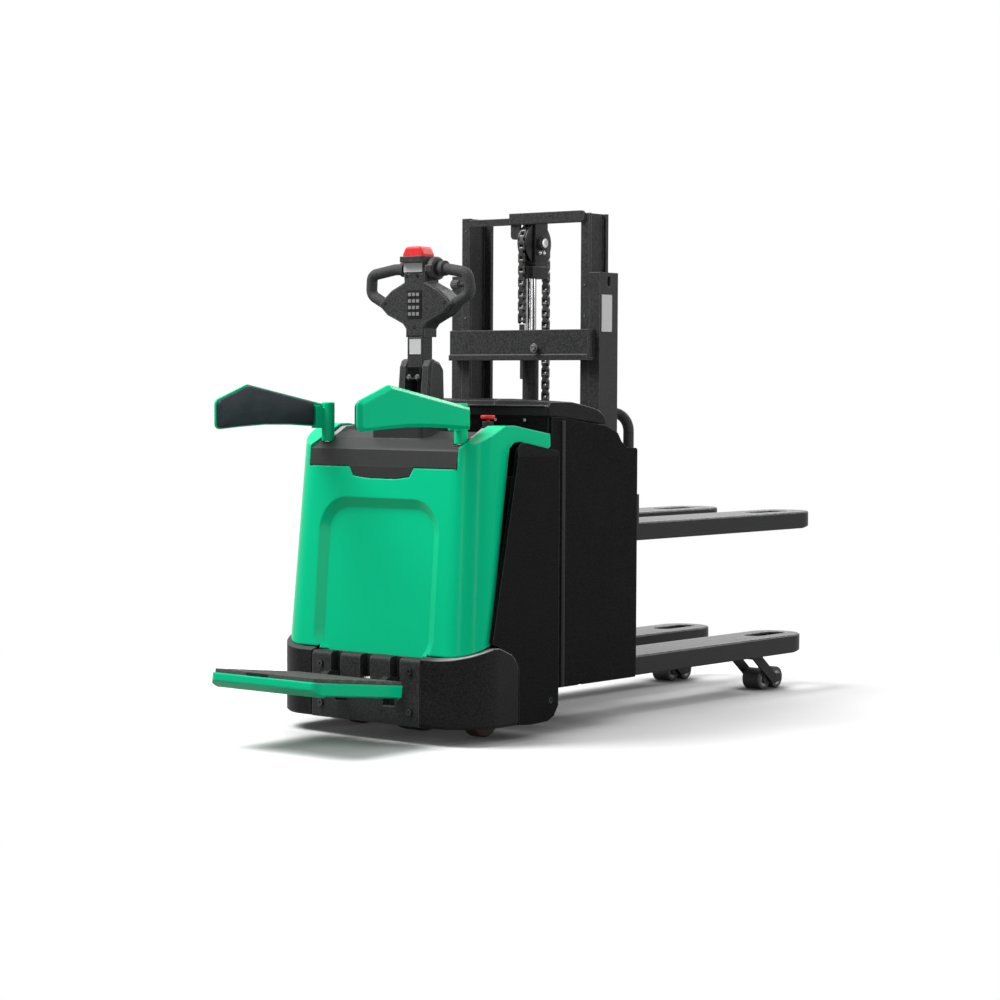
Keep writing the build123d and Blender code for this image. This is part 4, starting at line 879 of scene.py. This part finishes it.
def ribbed_knob(name):
    """Knob that stands on the grip's leg and points at the head, ribbed round its rim."""
    x, y, z = KNOB_ROOT
    end = x - KNOB_REACH
    piece = disc(name, (end + KNOB_LENGTH / 2, y, z), LEFT, KNOB_RADIUS, KNOB_LENGTH, KNOB_FACETS)
    bevel_edges(piece, lambda edge: all(v.co.x < end + NEAR for v in edge.verts), KNOB_ROUND, 3)
    edit(piece, "FACE")
    pick(piece, "faces", every_other_side)
    bpy.ops.mesh.inset(thickness=0.0006, depth=-0.0012, use_individual=True)
    close()
    middle = (x + STEM_START + STEM_LENGTH / 2, y, z)
    stem = disc(name + "_stem", middle, RIGHT, STEM_RADIUS, STEM_LENGTH, sides=20)
    bevel_edges(stem, along(RIGHT), STEM_ROUND, segments=1)
    whole = join(name, [piece, stem])
    smooth(whole)
    return whole


class STACKER_OT_tiller_trim(bpy.types.Operator):
    """Ribbed knob under the right bar and the linkage in the pedestal's mouth"""

    bl_idname = "stacker.tiller_trim"
    bl_label = "Tiller Trim"

    def execute(self, context):
        dress(ribbed_knob("grip_knob"), "tiller", "plastic_black")
        link = block("tilt_link", LINK_X, LINK_Y, LINK_Z)
        bevel_edges(link, along(FRONT), LINK_CORNER, segments=3)
        sink_face(link, FRONT, *LINK_DISH)
        smooth(link)
        dress(link, "tiller", "panel_black")
        spots = [((x, LINK_BOLT_Y, LINK_BOLT_Z), FRONT) for x in LINK_BOLT_X]
        fasten(hex_bolt, "link_bolt", spots, "tiller", "bolt_dark", radius=0.0065, depth=0.005)
        return {"FINISHED"}


class STACKER_OT_lid_trim(bpy.types.Operator):
    """Lip along the lid's front edge, and its end straps"""

    bl_idname = "stacker.lid_trim"
    bl_label = "Lid Trim"

    def execute(self, context):
        low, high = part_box("hood_lid")
        depth = (low.y - LIP_PROUD, low.y + LIP_LET_IN)
        lip = block("lid_lip", (low.x + LIP_SHORT, high.x - LIP_SHORT), depth, LIP_Z)
        bevel_edges(lip, along(RIGHT), TRIM_ROUND)
        smooth(lip)
        straps = []
        ends = (("left", low.x, low.x + STRAP_WIDTH), ("right", high.x, high.x - STRAP_WIDTH))
        for side, x, inner in ends:
            strap = block("strap_" + side, (x, inner), depth, STRAP_Z)
            bevel_edges(strap, along(UP), TRIM_ROUND)
            smooth(strap)
            straps.append(strap)
        dress(join("lid_lip", [lip] + straps), "lid", "lid_black")
        return {"FINISHED"}


class STACKER_OT_panel_beads(bpy.types.Operator):
    """Rounded fold that stands up the front of each side panel"""

    bl_idname = "stacker.panel_beads"
    bl_label = "Panel Beads"

    def execute(self, context):
        low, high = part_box("side_panels")
        face, start, top = high.x, low.y + BEAD_BACK, high.z - BEAD_BELOW_TOP
        across = (face - BEAD_LET_IN, face + BEAD_PROUD)
        height = (low.z + BEAD_ABOVE_FOOT, top)
        bead = block("panel_bead_right", across, (start, start + BEAD_WIDTH), height)
        bevel_edges(bead, lambda edge: along(UP)(edge) and edge.verts[0].co.x > face, BEAD_ROUND, 4)
        bevel_edges(bead, above(top - NEAR), BEAD_TOP_ROUND)
        smooth(bead)
        twin = copy_piece(bead, "panel_bead_left", MIRROR_X)
        for piece in (bead, twin):
            dress(piece, "lift_frame", "arm_black")
        return {"FINISHED"}


class STACKER_OT_step_grip(bpy.types.Operator):
    """Finger grip let into the mat's outer edge, a shallow dish in near black that also paints the shade
    inside the notch
    """

    bl_idname = "stacker.step_grip"
    bl_label = "Step Grip"

    def execute(self, context):
        low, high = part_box("platform_mat")
        piece = block("step_grip", GRIP_X, [low.y + y for y in GRIP_Y], [high.z + z for z in GRIP_Z])
        bevel_edges(piece, along(RIGHT), TRIM_ROUND)
        sink_face(piece, FRONT, *GRIP_DISH)
        smooth(piece)
        # Near black here is painted shade of the notch.
        dress(piece, "platform", "panel_black")
        return {"FINISHED"}


# Arm pads, with sizes in metres

PAD_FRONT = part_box("arm_pad_right")[0].x
PAD_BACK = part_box("arm_pad_right")[1].x
PAD_INSET = 0.0035
PAD_GAP = 0.0004
PAD_THINNER = 0.0075
PAD_CORNER = 0.014
PAD_ROUND_BEYOND = -1.1
PAD_ROUND_ABOVE = 1.03
PAD_SLOPE = 0.0038
PAD_MARGIN = 0.004
PAD_HELD = 0.0055
FILL_PRESSURE = 4.0
FILL_STEPS = 20


def pad_outline(inset):
    """Side view of the pad as points along Y and Z, drawn in by an inset."""
    outer, inner = -1.152 + inset, -0.742 - inset
    return [
        (outer, 0.915 + inset), (outer, 1.001 - inset), (-1.022, 1.048 - inset), (inner, 0.9974 - inset),
        (inner, 0.9219 + inset), (-0.840, 0.927 + inset), (-0.950, 0.928 + inset), (-1.060, 0.922 + inset),
    ]


def pad_blank(name):
    """Flat pad with round corners and a sloped rim, before it is filled."""
    points = pad_outline(PAD_INSET)
    deselect()
    bpy.ops.mesh.primitive_circle_add(vertices=len(points), radius=0.1, fill_type="NGON")
    piece = added(name)
    edit(piece, "VERT")
    mesh = bmesh.from_edit_mesh(piece.data)
    mesh.verts.ensure_lookup_table()
    for corner, (y, z) in zip(mesh.verts, points):
        corner.co = (PAD_BACK - PAD_GAP, y, z)
    bmesh.update_edit_mesh(piece.data)
    pick(piece, "verts", lambda v: v.co.y < PAD_ROUND_BEYOND or v.co.z > PAD_ROUND_ABOVE)
    bpy.ops.mesh.bevel(offset=PAD_CORNER, segments=5, affect="VERTICES")
    bpy.ops.mesh.select_all(action="SELECT")
    depth = PAD_BACK - PAD_FRONT - PAD_THINNER
    bpy.ops.mesh.extrude_region_move(TRANSFORM_OT_translate={"value": (-depth, 0.0, 0.0)})
    bpy.ops.mesh.select_all(action="SELECT")
    bpy.ops.mesh.normals_make_consistent(inside=False)
    close()
    sink_face(piece, LEFT, (sizes().pad_rim, PAD_SLOPE), (PAD_MARGIN, 0.0))
    return piece


def swell(piece, cap):
    """Fill the pad by cloth pressure, its back held flat, and cap how far a point may go."""
    take(piece)
    piece.data.remesh_voxel_size = sizes().pad_voxel
    bpy.ops.object.voxel_remesh()
    rest = [v.co.copy() for v in piece.data.vertices]
    held = piece.vertex_groups.new(name="held")
    held.add([i for i, co in enumerate(rest) if co.x > PAD_FRONT + PAD_HELD], 1.0, "REPLACE")
    cloth = piece.modifiers.new("Fill", "CLOTH")
    cloth.settings.vertex_group_mass = held.name
    cloth.settings.use_pressure = True
    cloth.settings.uniform_pressure_force = FILL_PRESSURE
    cloth.settings.effector_weights.gravity = 0.0
    cloth.point_cache.frame_start = 1
    cloth.point_cache.frame_end = FILL_STEPS
    for step in range(1, FILL_STEPS + 1):
        bpy.context.scene.frame_set(step)
    bpy.ops.object.modifier_apply(modifier=cloth.name)
    bpy.context.scene.frame_set(1)
    for vertex, start in zip(piece.data.vertices, rest):
        move = vertex.co - start
        if move.length > cap:
            vertex.co = start + move.normalized() * cap
    piece.vertex_groups.clear()


class STACKER_OT_arm_pads(bpy.types.Operator):
    """Crowned foam pads on the inner faces of both arms"""

    bl_idname = "stacker.arm_pads"
    bl_label = "Arm Pads"

    def execute(self, context):
        pad = pad_blank("pad_right")
        swell(pad, sizes().pad_crown)
        finer = pad.modifiers.new("Finer", "SUBSURF")
        finer.levels = finer.render_levels = 1
        take(pad)
        bpy.ops.object.modifier_apply(modifier=finer.name)
        smooth(pad, angle=50.0)
        twin = copy_piece(pad, "pad_left", MIRROR_X)
        for piece, side in ((pad, "right"), (twin, "left")):
            dress(piece, "arm_" + side, "pad_skin")
            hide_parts("arm_pad_" + side)
        return {"FINISHED"}


# Lift chain

CHAIN_MERGE = 0.000005


def chain_copy(node):
    """A merged copy of a CAD chain, split into its links."""
    piece = copy_piece(NODES[node], node + "_links", Matrix.Identity(4))
    edit(piece, "VERT")
    bpy.ops.mesh.select_all(action="SELECT")
    bpy.ops.mesh.remove_doubles(threshold=CHAIN_MERGE)
    bpy.ops.mesh.separate(type="LOOSE")
    close()
    return list(bpy.context.selected_objects)


def link_height(link):
    """Height of the middle of a link."""
    heights = [v.co.z for v in link.data.vertices]
    return (min(heights) + max(heights)) / 2


class STACKER_OT_chains(bpy.types.Operator):
    """Leaf chain in three runs; the run over the wheel rides on the inner mast"""

    bl_idname = "stacker.chains"
    bl_label = "Lift Chain"

    def execute(self, context):
        links = chain_copy("chain_front")
        rising = [k for k in links if link_height(k) < AXLE.z]
        over = [k for k in links if link_height(k) >= AXLE.z]
        front = join("chain_rising", rising)
        top = join("chain_over_wheel", over)
        back = join("chain_falling", chain_copy("chain_back"))
        for piece in (front, top, back):
            smooth(piece, angle=40.0)
            dress(piece, None, "chain_steel")
        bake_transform(front)
        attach(top, "mast_inner")
        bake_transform(back)
        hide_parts("chain_front")
        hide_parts("chain_back")
        return {"FINISHED"}


# Stage, in metres: each lamp has its place, the point that it looks at and its width and height

LAMPS = {
    "key": ((-2.25, -2.65, 5.2), (0.0, -0.4, 0.7), (3.0, 3.0)),
    "side": ((4.4, 1.6, 2.5), (0.0, 0.0, 0.6), (2.0, 2.0)),
    "strip": ((3.5, -2.25, 1.3), (0.2, -0.5, 0.65), (0.2, 2.0)),
    "front": ((1.0, -4.2, 1.0), (0.3, -0.75, 0.6), (0.16, 1.7)),
    "back": ((0.0, 4.2, 4.6), (0.0, 0.2, 0.6), (3.0, 2.0)),
}
WHITE = (1.0, 1.0, 1.0)
FLOOR_SIZE = 120.0
FLOOR_LEVEL = -0.0005
FLOOR_TONES = (0.68, 0.72)
FLOOR_BOUNCE = 0.17
FLOOR_GLOW = 0.03
FADE_SPAN = (1.5, 2.7)
# Reach, span and tone of the shadow painted on the floor under the machine.
PAINTED_SHADOW_REACH = 0.2
PAINTED_SHADOW_SPAN = (0.25, 0.85)
PAINTED_SHADOW_TONE = 0.03


def camera_matrix(stage):
    """Place and turn of a camera with the photograph's angles."""
    turn, tilt, roll = stage.azimuth, stage.pitch, stage.roll
    level = math.cos(tilt)
    ahead = Vector((-math.sin(turn) * level, math.cos(turn) * level, -math.sin(tilt)))
    right = Vector((math.cos(turn), math.sin(turn), 0.0))
    up = right.cross(ahead)
    side = math.cos(roll) * right + math.sin(roll) * up
    rise = -math.sin(roll) * right + math.cos(roll) * up
    return Matrix.Translation(stage.eye) @ Matrix((side, rise, -ahead)).transposed().to_4x4()


def add_camera(stage):
    """The camera that the photograph was taken with, as near as can be told."""
    deselect()
    bpy.ops.object.camera_add()
    camera = bpy.context.active_object
    camera.name = "photo_camera"
    camera.data.sensor_width = 36.0
    camera.data.lens = stage.lens
    camera.matrix_world = camera_matrix(stage)
    camera.data.clip_end = 200.0
    bpy.context.scene.camera = camera


def add_lamp(name, at, to, size, power):
    """A soft rectangular lamp that looks at a point."""
    deselect()
    bpy.ops.object.light_add(type="AREA", location=at)
    lamp = bpy.context.active_object
    lamp.name = name
    lamp.rotation_euler = (Vector(to) - Vector(at)).to_track_quat("-Z", "Y").to_euler()
    lamp.data.shape = "RECTANGLE"
    lamp.data.size, lamp.data.size_y = size
    lamp.data.energy = power


def seen_directly(tree):
    """One for camera, glossy and transmission rays."""
    rays = tree.nodes.new("ShaderNodeLightPath")
    total = rays.outputs["Is Camera Ray"]
    for name in ("Is Glossy Ray", "Is Transmission Ray"):
        step = tree.nodes.new("ShaderNodeMath")
        step.operation = "MAXIMUM"
        tree.links.new(total, step.inputs[0])
        tree.links.new(rays.outputs[name], step.inputs[1])
        total = step.outputs[0]
    return total


def choose(tree, share, first, second, output):
    """Lead a mix of two shaders to an output node."""
    chosen = tree.nodes.new("ShaderNodeMixShader")
    for socket, source in zip(chosen.inputs, (share, first.outputs[0], second.outputs[0])):
        tree.links.new(source, socket)
    tree.links.new(chosen.outputs[0], tree.nodes[output].inputs["Surface"])


def light_world(strength):
    """Even light, with a white background where it is seen."""
    world = bpy.data.worlds.new("studio")
    bpy.context.scene.world = world
    world.use_nodes = True
    tree = world.node_tree
    even = tree.nodes["Background"]
    even.inputs["Color"].default_value = tone(WHITE)
    even.inputs["Strength"].default_value = strength
    white = tree.nodes.new("ShaderNodeBackground")
    white.inputs["Color"].default_value = tone(WHITE)
    choose(tree, seen_directly(tree), even, white, "World Output")


def add_floor():
    """Pale floor with a painted shadow close under the machine, white far out, that throws little light
    back.
    """
    deselect()
    bpy.ops.mesh.primitive_plane_add(size=FLOOR_SIZE, location=(0.0, 0.0, FLOOR_LEVEL))
    floor = added("floor")
    f = Finish("floor_white")
    seen = seen_directly(f.tree)
    reach = f.add("ShaderNodeVectorMath", {0: f.place}, "Value", operation="LENGTH")
    pale = f.mix(f.noise(40.0, 3.0), *(tone(WHITE, share) for share in FLOOR_TONES))
    # Painted shadow: the floor is darkened where occlusion finds the machine close above it.
    near = f.add("ShaderNodeAmbientOcclusion", {"Distance": PAINTED_SHADOW_REACH}, "AO", samples=8)
    pale = f.mix(f.span(near, *PAINTED_SHADOW_SPAN), tone(WHITE, PAINTED_SHADOW_TONE), pale)
    f.set(Base_Color=f.mix(seen, tone(WHITE, FLOOR_BOUNCE), pale), Roughness=0.9, Specular_IOR_Level=0.0)
    f.set(Emission_Color=tone(WHITE), Emission_Strength=f.times(seen, FLOOR_GLOW))
    glow = f.tree.nodes.new("ShaderNodeEmission")
    choose(f.tree, f.times(f.span(reach, *FADE_SPAN), seen), f.shader, glow, "Material Output")
    floor.data.materials.append(f.material)


class STACKER_OT_stage(bpy.types.Operator):
    """Pale floor, soft lamps and the camera at the photograph's angle"""

    bl_idname = "stacker.stage"
    bl_label = "Stage"

    def execute(self, context):
        stage = context.scene.stacker_stage
        add_floor()
        light_world(stage.sky)
        for name, (at, to, size) in LAMPS.items():
            add_lamp(name + "_lamp", at, to, size, getattr(stage, name))
        add_camera(stage)
        context.scene.view_settings.view_transform = "Standard"
        return {"FINISHED"}


# Add-on

OPERATORS = (
    STACKER_OT_finishes,
    STACKER_OT_arm_pads,
    STACKER_OT_chains,
    STACKER_OT_screws,
    STACKER_OT_plates,
    STACKER_OT_tiller_trim,
    STACKER_OT_lid_trim,
    STACKER_OT_panel_beads,
    STACKER_OT_step_grip,
    STACKER_OT_stage,
)
GROUPS = {"stacker_paint": StackerPaint, "stacker_sizes": StackerSizes, "stacker_stage": StackerStage}


class STACKER_PT_panel(bpy.types.Panel):
    """Sidebar list of the stacker's pieces"""

    bl_idname = "STACKER_PT_panel"
    bl_label = "Double Stacker"
    bl_space_type = "VIEW_3D"
    bl_region_type = "UI"
    bl_category = "Stacker"

    def draw(self, context):
        for operator in OPERATORS:
            self.layout.operator(operator.bl_idname)
        for group_name in GROUPS:
            group = getattr(context.scene, group_name)
            box = self.layout.box()
            for name in group.__annotations__:
                box.prop(group, name)


def register():
    """Make the groups, the operators and the panel known to Blender."""
    for group in GROUPS.values():
        bpy.utils.register_class(group)
    for operator in OPERATORS:
        bpy.utils.register_class(operator)
    bpy.utils.register_class(STACKER_PT_panel)
    for name, group in GROUPS.items():
        setattr(bpy.types.Scene, name, PointerProperty(type=group))


def unregister():
    """Take back what register did."""
    for name in GROUPS:
        delattr(bpy.types.Scene, name)
    bpy.utils.unregister_class(STACKER_PT_panel)
    for operator in reversed(OPERATORS):
        bpy.utils.unregister_class(operator)
    for group in reversed(GROUPS.values()):
        bpy.utils.unregister_class(group)


def main():
    """Register the add-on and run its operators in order."""
    register()
    for operator in OPERATORS:
        group, name = operator.bl_idname.split(".")
        getattr(getattr(bpy.ops, group), name)()


if __name__ == "__main__":
    main()
